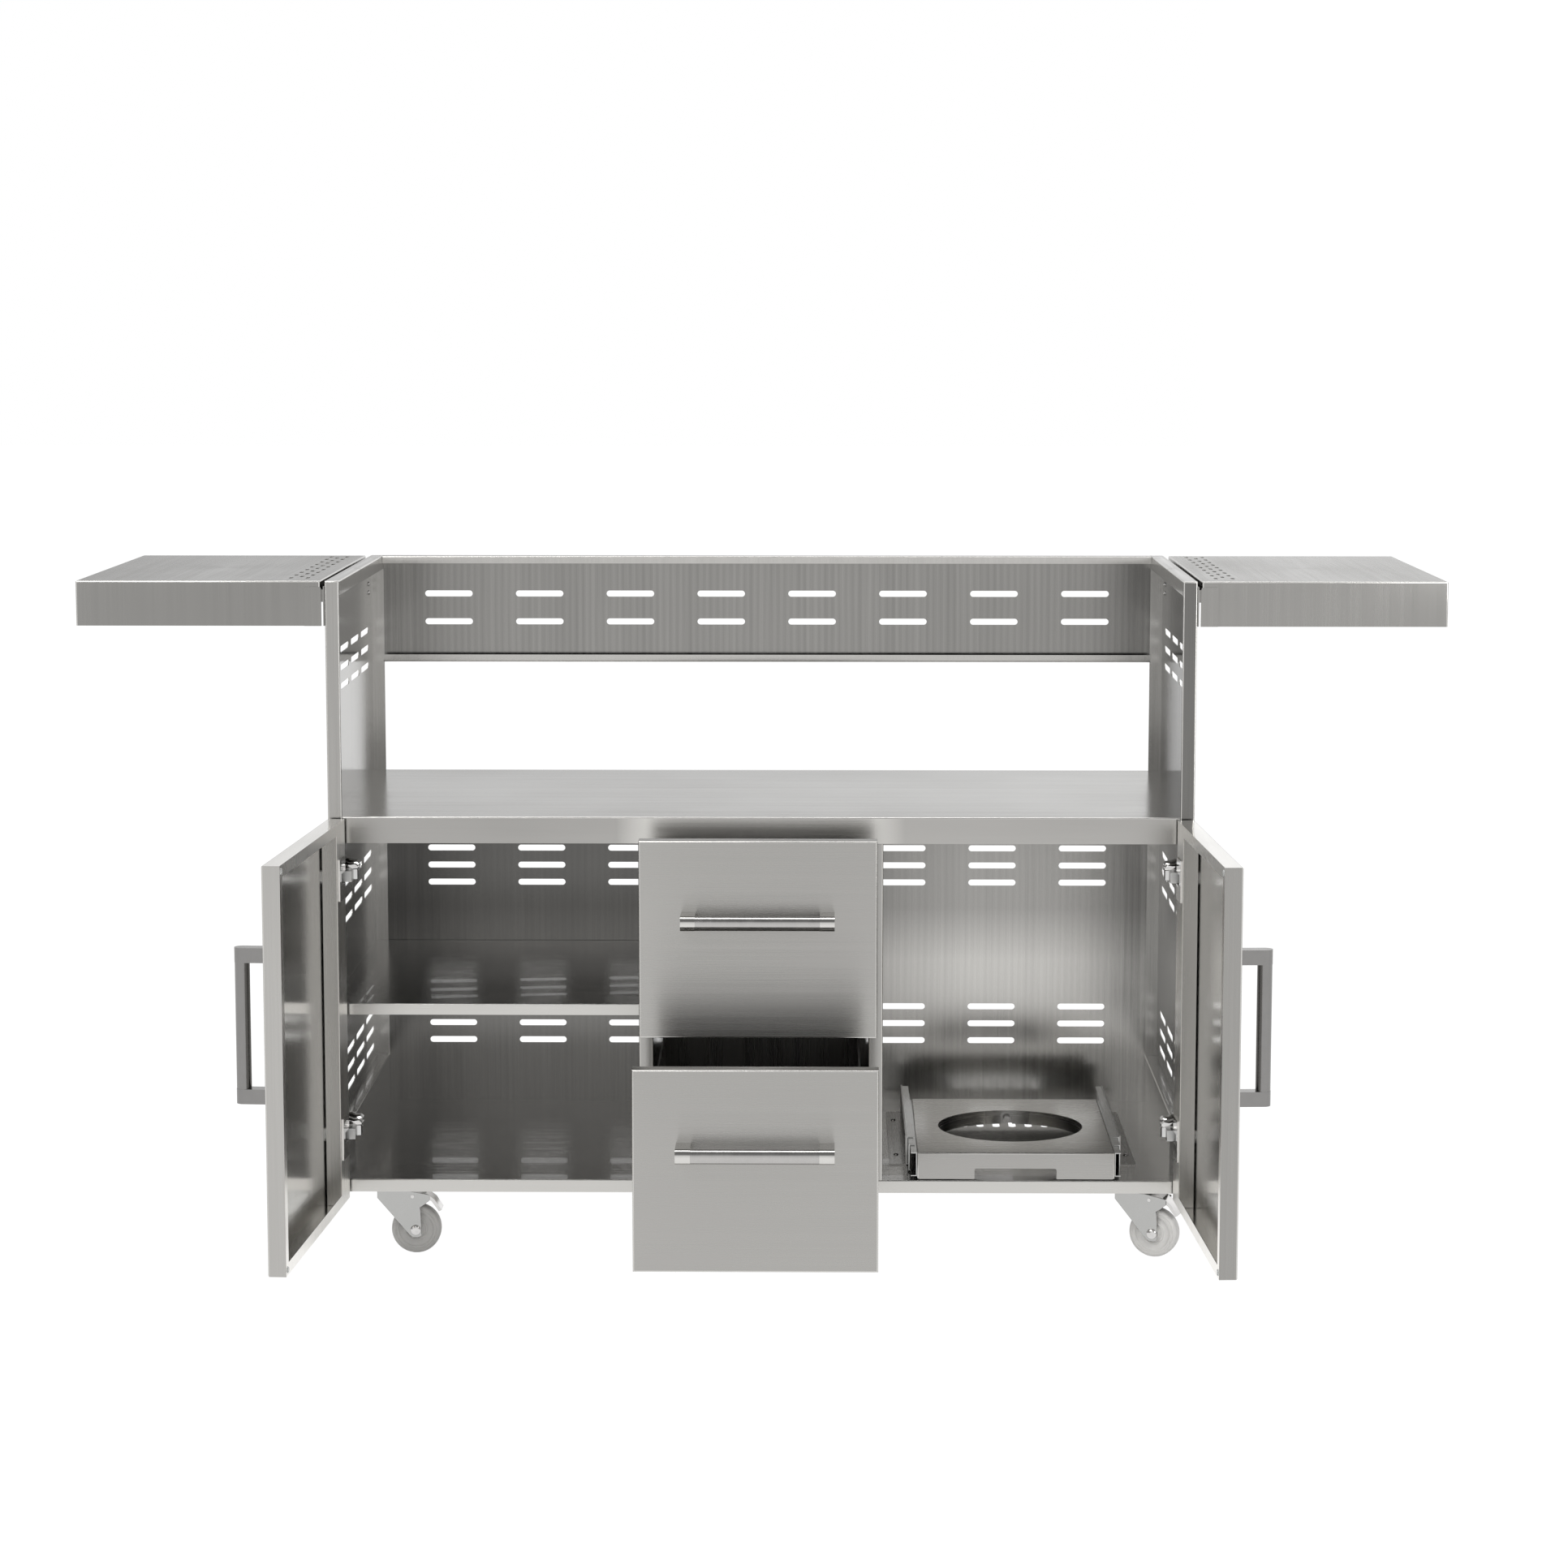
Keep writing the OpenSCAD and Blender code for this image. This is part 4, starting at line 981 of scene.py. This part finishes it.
@dataclass
class UpstandFronts(Detail):
    """Front stretches of the upstands beside the floor, from the side panels' flanges to the CAD model's.

    Attributes:
        inner: X of the upstand's inner face.
        outer: X of the side panel's inner face.
        front: Y of the flange's back.
        back: Y of the CAD model's upstand.
        foot: Z of the floor.
        top: Z of the upstand's top.
        metal: Thickness of the sheet.
        bend: Radius of the bend.
        bend_steps: Steps round the bend.
    """

    inner: float = 580 * MM
    outer: float = 598.6 * MM
    front: float = -32.6 * MM
    back: float = 61.1 * MM
    foot: float = 119.1 * MM
    top: float = 191 * MM
    metal: float = 1.2 * MM
    bend: float = 3 * MM
    bend_steps: int = 4

    def arc(self, radius: float) -> list[Pair]:
        """Quarter of a circle round the bend's middle, from upright to level.

        Args:
            radius: The circle's radius.

        Returns:
            X and Z of each point.
        """
        x, z = self.inner + self.bend, self.top - self.bend
        turns = [FULL_TURN / 4 * i / self.bend_steps for i in range(self.bend_steps + 1)]
        return [(x - radius * math.cos(a), z + radius * math.sin(a)) for a in turns]

    def outline(self) -> list[Pair]:
        """Section of the folded sheet.

        Returns:
            X and Z of each point.
        """
        inside = reversed(self.arc(self.bend - self.metal))
        return [(self.inner, self.foot), *self.arc(self.bend), (self.outer, self.top),
                (self.outer, self.top - self.metal), *inside, (self.inner + self.metal, self.foot)]

    def build(self, nodes: dict[str, bpy.types.Object]) -> None:
        """Builds both stretches as pieces that ride the cabinet.

        Args:
            nodes: The CAD nodes by name. These pieces need none of them.
        """
        outline = self.outline()
        for name, side, finish in (("left", -1.0, Finish.LEFT_WALL), ("right", 1.0, Finish.RIGHT_WALL)):
            build = bmesh.new()
            near, far = ([build.verts.new((side * x, y, z)) for x, z in outline]
                         for y in (self.front, self.back))
            build.faces.new(near)
            build.faces.new(far)
            for i in range(len(outline)):
                j = (i + 1) % len(outline)
                build.faces.new((near[i], near[j], far[j], far[i]))
            piece = mesh_piece(f"{name}_upstand_front", build)
            self.shop.dress(piece, finish)
            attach(piece, "cabinet")
        LOG.info("upstand fronts built")


@dataclass
class Handles(Detail):
    """Polished end pieces of the drawers' bar handles.

    Attributes:
        end: Length of an end piece.
    """

    end: float = 19.5 * MM

    def build(self, nodes: dict[str, bpy.types.Object]) -> None:
        """Dresses the ends of every handle.

        Args:
            nodes: The CAD nodes by name.
        """
        for name, piece in nodes.items():
            if name.endswith("_drawer_handle"):
                self.shop.polish_ends(piece, Finish.POLISH, self.end)
        LOG.info("handle ends polished")


@dataclass
class DoorChannels(Detail):
    """Walls that close the doors' hinge-side lips into channels, a slit short of the outer sheet.

    Attributes:
        lip: Width of the lip on the hinge side.
        metal: Thickness of the sheet.
        slit: Gap between a wall and the outer sheet.
        end: Distance from a wall's ends to the pan's.
    """

    lip: float = 57 * MM
    metal: float = 1.2 * MM
    slit: float = 2.0 * MM
    end: float = 1.6 * MM

    def build(self, nodes: dict[str, bpy.types.Object]) -> None:
        """Builds a wall in each door, square to the door as it stands.

        Args:
            nodes: The CAD nodes by name.
        """
        up = Vector((0.0, 0.0, 1.0))
        for side, way in (("left", 1.0), ("right", -1.0)):
            pan = nodes[f"{side}_door_pan"].data
            inner_faces = [face for face in pan.polygons if face.normal.x * way > SAME_WAY]
            widest = max(inner_faces, key=lambda face: face.area)
            inward = Vector((widest.normal.x, widest.normal.y, 0.0)).normalized()
            along = inward.cross(up) * way
            door_axes = np.array([along, inward, up])
            places = points_of(pan) @ door_axes.T
            low, high = places.min(0), places.max(0)
            lip_edge = low[0] + self.lip
            first = np.array([lip_edge - self.metal, low[1] + self.metal + self.slit, low[2] + self.end])
            last = np.array([lip_edge, high[1] - self.metal, high[2] - self.end])
            build = bmesh.new()
            bmesh.ops.create_cube(build, size=1.0)
            for vert in build.verts:
                vert.co = Vector((first + (last - first) * (np.array(vert.co) + 0.5)) @ door_axes)
            build.normal_update()
            piece = mesh_piece(f"{side}_door_channel_wall", build)
            # A darker copy of the door steel, painted shade in the channel
            self.shop.dress(piece, Finish.RIGHT_DOOR_SIDE)
            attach(piece, f"{side}_door")
        LOG.info("door channels closed")


@dataclass
class HingeDetail(Detail):
    """Housings with adjusting screws and pressed covers of the cup hinges, over the CAD model's arms.

    Attributes:
        node: CAD node with one solid a hinge arm, and smaller ones.
        arm_height: Least height of a solid that is an arm.
        length: Length of the housing, front to back.
        width: Height of the housing.
        depth: How far it stands off its seat.
        rise: How far its middle lies above the arm's.
        seat: Distance from the arm's outer side in to the housing's seat.
        back: Distance from the arm's back end to the housing's.
        cover_front: Distance from the arm's back end to the cover's front.
        screw_steps: Steps round a screw's head.
        screw_sink: How far a screw's head is sunk in the housing.
        sharp: Angle in degrees above which an edge stays sharp.
        section: Share of the depth, and height over the middle as a share of the half width.
        stations: Share of the length, and share of the full section there.
        screws: The same two shares where a screw sits.
        screw_head: Radius and height of the points of a screw's head, in millimetres.
        cover_section: X, and distance behind the front, of the cover's points, in millimetres.
        cover_rows: Height over the middle, and how far the section draws in there, in millimetres.
    """

    node: str = "hinge_arms"
    arm_height: float = 20 * MM
    length: float = 58 * MM
    width: float = 22 * MM
    depth: float = 37 * MM
    rise: float = 5 * MM
    seat: float = 1.5 * MM
    back: float = 10 * MM
    cover_front: float = 71.4 * MM
    screw_steps: int = 20
    screw_sink: float = 0.2 * MM
    sharp: float = 32.0
    section: tuple[Pair, ...] = ((0.0, 1.0), (0.55, 1.0), (0.70, 0.78), (0.90, 0.74), (1.0, 0.45))
    stations: tuple[Pair, ...] = (
        (0.0, 0.80), (0.04, 1.0), (0.22, 1.0), (0.26, 0.82), (0.48, 0.82), (0.52, 0.95), (0.86, 0.95),
        (1.0, 0.50))
    screws: tuple[Pair, ...] = ((0.13, 1.0), (0.37, 0.82), (0.69, 0.95))
    screw_head: tuple[Pair, ...] = ((3.6, 0.0), (3.6, 0.7), (3.0, 1.1), (1.3, 1.1), (1.0, 0.4), (0.0, 0.3))
    cover_section: tuple[Pair, ...] = (
        (588.0, 0.0), (562.5, 0.0), (560.5, 0.8), (559.5, 3.0), (559.5, 11.0), (562.0, 11.0))
    cover_rows: tuple[Pair, ...] = ((7.6, 0.8), (6.8, 0.0), (-6.8, 0.0), (-7.6, 0.8))

    def housing(self, build: bmesh.types.BMesh, side: float, seat: float, back: float, middle: float) -> None:
        """Adds one housing: a stepped body with two ridges and its screws.

        Args:
            build: The mesh to add to.
            side: 1 on the right and -1 on the left.
            seat: X of the face that the housing stands on.
            back: Y of its back end.
            middle: Z of its middle.
        """
        half = self.width / 2
        rows = []
        for along, share in self.stations:
            y = back - self.length * (1 - along)
            upper = [(seat - side * self.depth * share * out, y, middle + half * up * (0.5 + share / 2))
                     for out, up in self.section]
            lower = [(x, y, 2 * middle - z) for x, y, z in reversed(upper)]
            rows.append([build.verts.new(p) for p in upper + lower])
        loft(build, rows)
        head = [(radius * MM, height * MM) for radius, height in self.screw_head]
        for along, share in self.screws:
            out = seat - side * (self.depth * share - self.screw_sink)
            place = Matrix.Translation((out, back - self.length * (1 - along), middle))
            lathe(build, head, place @ aim(Vector((-side, 0, 0))), self.screw_steps)

    def cover(self, build: bmesh.types.BMesh, side: float, front: float, middle: float) -> None:
        """Adds the pressed cover of one arm, just behind the side panel's flange.

        Args:
            build: The mesh to add to.
            side: 1 on the right and -1 on the left.
            front: Y of its front.
            middle: Z of its middle.
        """
        rows = []
        for up, inset in self.cover_rows:
            places = [(side * (x + inset) * MM, front + (behind + inset) * MM, middle + up * MM)
                      for x, behind in self.cover_section]
            rows.append([build.verts.new(p) for p in places])
        loft(build, rows)

    def build(self, nodes: dict[str, bpy.types.Object]) -> None:
        """Builds the housings and the covers as two pieces that ride the cabinet.

        Args:
            nodes: The CAD nodes by name.
        """
        housings, covers = bmesh.new(), bmesh.new()
        for points in solids(nodes[self.node]):
            low, high = points.min(0), points.max(0)
            if high[2] - low[2] < self.arm_height:
                continue
            side = 1.0 if low[0] > 0 else -1.0
            outer = high[0] if side > 0 else low[0]
            middle = (low[2] + high[2]) / 2
            self.housing(housings, side, outer - side * self.seat, high[1] - self.back, middle + self.rise)
            self.cover(covers, side, high[1] - self.cover_front, middle)
        for name, build, finish in (("hinge_housings", housings, Finish.CHROME),
                                    ("hinge_covers", covers, Finish.ARM)):
            piece = mesh_piece(name, build)
            self.shop.dress(piece, finish, self.sharp)
            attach(piece, "cabinet")
        LOG.info("hinge housings and covers built")


@dataclass
class Wheels(Detail):
    """Caster wheels with a stepped rim, a sunk web and a hub collar, in place of the CAD model's.

    Attributes:
        corners: The casters' places.
        steps: Steps round a wheel.
        sharp: Angle in degrees above which an edge stays sharp.
        collar: Radius and distance from the wheel's middle of the hub collar's points, in millimetres.
        web: The same of the sunk web.
        rim: The same of the stepped rim.
        tread: The same of the rounded tread.
    """

    corners: tuple[str, ...] = CORNERS
    steps: int = 72
    sharp: float = 28.0
    collar: tuple[Pair, ...] = (
        (6.6, 13.5), (9.3, 13.5), (10.0, 12.8), (10.0, 10.4), (11.0, 10.0), (13.4, 10.0), (14.0, 10.9))
    web: tuple[Pair, ...] = ((15.6, 10.9), (16.2, 9.8), (17.2, 9.4), (23.0, 9.4), (24.2, 10.0))
    rim: tuple[Pair, ...] = ((24.8, 11.0), (27.8, 11.2), (28.3, 10.7), (29.0, 10.7), (29.5, 11.2))
    tread: tuple[Pair, ...] = ((31.2, 11.1), (32.8, 10.3), (34.1, 8.7), (34.8, 6.8), (35.0, 4.5))

    def outline(self, bore: float) -> list[Pair]:
        """Closed section of a wheel.

        Args:
            bore: Radius of the axle's hole.

        Returns:
            Radius and height of each point.
        """
        profile = self.collar + self.web + self.rim + self.tread
        side = [(max(radius * MM, bore), height * MM) for radius, height in profile]
        return [*side, *((radius, -height) for radius, height in reversed(side)), side[0]]

    def build(self, nodes: dict[str, bpy.types.Object]) -> None:
        """Turns every wheel about its axle.

        Args:
            nodes: The CAD nodes by name.
        """
        for corner in self.corners:
            name = f"wheel_{corner}"
            points = points_of(nodes[name].data)
            middle = (points.min(0) + points.max(0)) / 2
            offsets = points - middle
            axle = np.linalg.eigh(np.cov(offsets.T))[1][:, 0]
            bore = np.linalg.norm(offsets - np.outer(offsets @ axle, axle), axis=1).min()
            build = bmesh.new()
            place = Matrix.Translation(middle) @ aim(Vector(axle))
            lathe(build, self.outline(bore), place, self.steps)
            bmesh.ops.remove_doubles(build, verts=build.verts, dist=WELD)
            piece = mesh_piece(f"turned_{name}", build)
            self.shop.dress(piece, Finish.NYLON, self.sharp)
            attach(piece, f"{name}_body")
            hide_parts(name)
        LOG.info("wheels turned")


@dataclass
class ScrewHeads(Detail):
    """Pan-head screws with a round recess, where the CAD model has its domed heads.

    Attributes:
        node: CAD node with one solid a screw.
        steps: Steps round a head.
        sharp: Angle in degrees above which an edge stays sharp.
        rim: Share of the radius at the head's foot.
        dome: Angles on the dome's curve.
        dome_foot: Share of the height at which the dome starts.
        dome_rise: Share of the height that the dome's curve rises by at a right angle.
        recess: Share of the radius and of the height of the recess's points.
    """

    node: str = "screws"
    steps: int = 20
    sharp: float = 40.0
    rim: float = 0.98
    dome: tuple[float, ...] = (0.0, 0.35, 0.7, 1.0)
    dome_foot: float = 0.25
    dome_rise: float = 0.7
    recess: tuple[Pair, ...] = ((0.42, 0.93), (0.34, 0.45), (0.0, 0.35))

    def profile(self, radius: float, height: float) -> list[Pair]:
        """Section of one head, from its rim to the recess's middle.

        Args:
            radius: The head's radius.
            height: The head's height.

        Returns:
            Radius and height of each point.
        """
        curve = [(math.cos(a), self.dome_foot + self.dome_rise * math.sin(a)) for a in self.dome]
        return [(radius * out, height * up) for out, up in ((self.rim, 0.0), *curve, *self.recess)]

    def head(self, build: bmesh.types.BMesh, points: np.ndarray) -> None:
        """Adds one head over a solid's place.

        Args:
            build: The mesh to add to.
            points: The solid's points.
        """
        low, high = points.min(0), points.max(0)
        spans = high - low
        axis = int(np.argmin(spans))
        middle = (low + high) / 2
        across = [a for a in range(3) if a != axis]
        lower = points[points[:, axis] < middle[axis]][:, across]
        upper = points[points[:, axis] >= middle[axis]][:, across]
        wider_below = np.ptp(lower, axis=0).sum() > np.ptp(upper, axis=0).sum()
        direction = Vector((0, 0, 0))
        direction[axis] = 1.0 if wider_below else -1.0
        seat = Vector(middle)
        seat[axis] = low[axis] if wider_below else high[axis]
        radius = (spans.sum() - spans[axis]) / 4
        lathe(build, self.profile(radius, spans[axis]), Matrix.Translation(seat) @ aim(direction), self.steps)

    def build(self, nodes: dict[str, bpy.types.Object]) -> None:
        """Builds every head as one piece in place of the node.

        Args:
            nodes: The CAD nodes by name.
        """
        build = bmesh.new()
        for points in solids(nodes[self.node]):
            self.head(build, points)
        piece = mesh_piece("screw_heads", build)
        self.shop.dress(piece, Finish.CHROME, self.sharp)
        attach(piece, "cabinet")
        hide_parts(self.node)
        LOG.info("screw heads built")


@dataclass
class Assembly:
    """A group of CAD nodes and the finishes that they wear.

    Attributes:
        title: What it is, for the log.
        shop: Where finishes come from.
        wear: Finish of each CAD node.
    """

    title: str
    shop: Workshop
    wear: dict[str, Finish] = field(default_factory=dict)

    def build(self, nodes: dict[str, bpy.types.Object]) -> None:
        """Dresses the nodes.

        Args:
            nodes: The CAD nodes by name.
        """
        for name, finish in self.wear.items():
            self.shop.dress(nodes[name], finish)
        LOG.info("%s done: %d pieces", self.title, len(self.wear))


def same(names: Iterable[str], finish: Finish) -> dict[str, Finish]:
    """One finish for several nodes."""
    return {name: finish for name in names}


@dataclass(frozen=True)
class Lamp:
    """A soft rectangular lamp.

    Attributes:
        name: The lamp's name.
        place: Its middle.
        aim_at: The point that it faces.
        size: Its width and height.
        power: Its power in watts.
    """

    name: str
    place: Triple
    aim_at: Triple
    size: Pair
    power: float

    def build(self) -> None:
        """Adds the lamp to the stage."""
        data = bpy.data.lights.new(self.name, "AREA")
        data.shape = "RECTANGLE"
        data.size, data.size_y = self.size
        data.energy = self.power
        made = bpy.data.objects.new(self.name, data)
        made.location = self.place
        made.rotation_euler = (Vector(self.aim_at) - Vector(self.place)).to_track_quat("-Z", "Y").to_euler()
        made.visible_camera = False
        bpy.context.scene.collection.objects.link(made)


@dataclass
class Studio:
    """Floor, lamps, world and camera.

    Attributes:
        lens: Focal length in millimetres.
        sensor: Width of the sensor in millimetres.
        eye: The camera's place.
        pitch: Degrees that the camera looks down.
        yaw: Degrees that the camera looks to its left.
        shift: Sideways and upward shift of the picture.
        sight: How far the camera sees.
        floor_size: Side of the floor.
        floor_shade: Grey of the floor under the lamps.
        floor_glow: Brightness of the floor where it is seen.
        floor_seen: How much of what is seen is the glow. The rest shows the cart's shadow.
        ceiling: Upward share of a direction at which the ceiling starts and has its full effect.
        ceiling_dim: Share of the world's light that is missing overhead.
        sides: Sideways share of a direction at which the sides start and have their full effect.
        sides_dim: Share that is missing at the far left and right.
        back: Sideways share of a direction at which the light behind starts and ends its rise.
        back_left_dim: Share that is missing behind, on the left.
        back_rise: Share that behind gains from left to right.
        ambient: Strength of the world where it lights unseen.
        lamps: The lamps.
    """

    lens: float = 86.63
    sensor: float = 36.0
    eye: Triple = (0.0905, -5.2065, 1.3410)
    pitch: float = 7.275
    yaw: float = 0.669
    shift: Pair = (0.001, -0.001)
    sight: float = 200.0
    floor_size: float = 60.0
    floor_shade: float = 0.88
    floor_glow: float = 1.12
    floor_seen: float = 0.88
    ceiling: Pair = (0.30, 0.70)
    ceiling_dim: float = 0.80
    sides: Pair = (0.55, 0.90)
    sides_dim: float = 0.70
    back: Pair = (-0.35, 0.35)
    back_left_dim: float = 0.35
    back_rise: float = 0.55
    ambient: float = 0.42
    lamps: tuple[Lamp, ...] = (
        Lamp("key", (-2.2, -3.2, 3.2), (0.0, 0.0, 0.5), (2.4, 1.8), 85.0),
        Lamp("fill", (2.8, -3.0, 2.2), (0.0, 0.0, 0.5), (2.0, 2.0), 45.0),
        Lamp("top", (0.0, 0.6, 3.6), (0.0, 0.1, 0.5), (3.6, 1.6), 70.0),
    )

    def camera(self) -> None:
        """Places the camera of the photograph's view."""
        data = bpy.data.cameras.new("view")
        data.lens = self.lens
        data.sensor_width = self.sensor
        data.shift_x, data.shift_y = self.shift
        data.clip_end = self.sight
        eye = bpy.data.objects.new("view", data)
        eye.location = self.eye
        eye.rotation_euler = (math.radians(90 - self.pitch), 0.0, math.radians(self.yaw))
        bpy.context.scene.collection.objects.link(eye)
        bpy.context.scene.camera = eye

    def seen(self, sheet: ShaderSheet) -> Value:
        """1 for rays that see the background: from the camera, a mirror or a glass."""
        path = sheet.node("ShaderNodeLightPath", {}, {})
        return path["Is Camera Ray"].either(path["Is Glossy Ray"]).either(path["Is Transmission Ray"])

    def floor(self) -> None:
        """Lays the pale floor, which keeps the cart's shadow."""
        build = bmesh.new()
        bmesh.ops.create_grid(build, x_segments=1, y_segments=1, size=self.floor_size / 2)
        floor = mesh_piece("floor", build)
        made, sheet = new_material("pale_floor")
        matt = sheet.node("ShaderNodeBsdfDiffuse", {}, {"Color": plain(self.floor_shade)})["BSDF"]
        glow = sheet.node("ShaderNodeEmission", {}, {"Color": plain(1.0), "Strength": self.floor_glow})
        share = self.seen(sheet) * self.floor_seen
        both = sheet.node("ShaderNodeMixShader", {}, {0: share, 1: matt, 2: glow["Emission"]})["Shader"]
        sheet.node("ShaderNodeOutputMaterial", {}, {"Surface": both})
        floor.data.materials.append(made)

    def world(self) -> None:
        """Lights the world: white where it is seen, softer where it lights."""
        world = bpy.data.worlds.new("studio")
        world.use_nodes = True
        sheet = ShaderSheet(world.node_tree)
        way = sheet.node("ShaderNodeTexCoord", {}, {})["Generated"]
        axes = sheet.node("ShaderNodeSeparateXYZ", {}, {"Vector": way})
        high = axes["Z"].ramped(*self.ceiling)
        aside = axes["X"].size().ramped(*self.sides)
        rightward = axes["X"].ramped(*self.back)
        tilt = (axes["Y"] > 0.0) * (rightward * self.back_rise - self.back_left_dim) + 1.0
        shown = (1.0 - high * self.ceiling_dim) * (1.0 - aside * self.sides_dim) * tilt
        seen = self.seen(sheet)
        direct = sheet.node("ShaderNodeLightPath", {}, {})["Is Camera Ray"]
        strength = direct.either(seen * shown) + (1.0 - seen) * self.ambient
        light = sheet.node("ShaderNodeBackground", {}, {"Color": plain(1.0), "Strength": strength})
        sheet.node("ShaderNodeOutputWorld", {}, {"Surface": light["Background"]})
        bpy.context.scene.world = world

    def build(self) -> None:
        """Sets the whole studio up."""
        bpy.context.scene.view_settings.view_transform = "Standard"
        self.camera()
        self.floor()
        self.world()
        for lamp in self.lamps:
            lamp.build()
        LOG.info("studio set up")


def assemblies(shop: Workshop) -> list[Assembly]:
    """The cart's sub-assemblies with their finishes.

    Args:
        shop: Where finishes come from.

    Returns:
        The assemblies, in building order.
    """
    made = [
        Assembly("cabinet", shop, {
            **same(("left_side_panel", "right_side_panel"), Finish.SIDE),
            "upper_back_panel": Finish.BACK,
            "lower_back_panel": Finish.LOW_BACK,
            "deck": Finish.DECK,
            "floor_pan": Finish.FLOOR,
            "middle_shelf": Finish.MIDDLE_SHELF,
            **same(("left_divider", "right_divider"), Finish.SIDE),
            **same(("caster_rails", "shelf_brackets", "tray_brackets"), Finish.SHELF),
            **same(("shelf_pivot_pins", "slide_outer_members", "caster_plates"), Finish.PLATED),
            "hinge_arms": Finish.ARM,
        }),
        Assembly("tank tray", shop, {
            "tank_tray": Finish.TRAY, "tank_clamp": Finish.BAR, "tank_lock_screw": Finish.CHROME,
            "tray_inner_slides": Finish.PLATED, "tray_middle_slides": Finish.PLATED,
        }),
    ]
    for side in ("left", "right"):
        made.append(Assembly(f"{side} door", shop, {
            f"{side}_door_pan": Finish.DOOR, f"{side}_door_handle": Finish.DOOR_BAR,
            f"{side}_hinge_cups": Finish.CHROME, f"{side}_bumpers": Finish.CLEAR,
        }))
        made.append(Assembly(f"{side} side shelf", shop, {f"{side}_side_shelf": Finish.SHELF}))
    for level in ("upper", "lower"):
        made.append(Assembly(f"{level} drawer", shop, {
            f"{level}_drawer_front": Finish.FRONT, f"{level}_drawer_box": Finish.BOX,
            f"{level}_drawer_handle": Finish.BAR, f"{level}_inner_slides": Finish.PLATED,
            f"{level}_middle_slides": Finish.PLATED,
        }))
    for corner in CORNERS:
        wear = {
            f"fork_{corner}": Finish.FORK, f"axle_{corner}": Finish.CHROME, f"wheel_{corner}": Finish.NYLON,
        }
        if corner.startswith("front"):
            wear[f"brake_{corner}"] = Finish.CHROME
        made.append(Assembly(f"{corner.replace('_', ' ')} caster", shop, wear))
    return made


def details(shop: Workshop) -> list[Detail]:
    """What is added to the dressed nodes, in building order."""
    kinds = (Patches, Handles, UpstandFronts, DoorChannels, HingeDetail, Wheels, ScrewHeads)
    return [kind(shop) for kind in kinds]


def main() -> None:
    """Builds the cart's looks round the CAD frame."""
    logging.basicConfig(level=logging.INFO, format="%(name)s: %(message)s")
    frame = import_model()
    shop = Workshop()
    for part in (*assemblies(shop), *details(shop)):
        part.build(frame["nodes"])
    Studio().build()


if __name__ == "__main__":
    main()
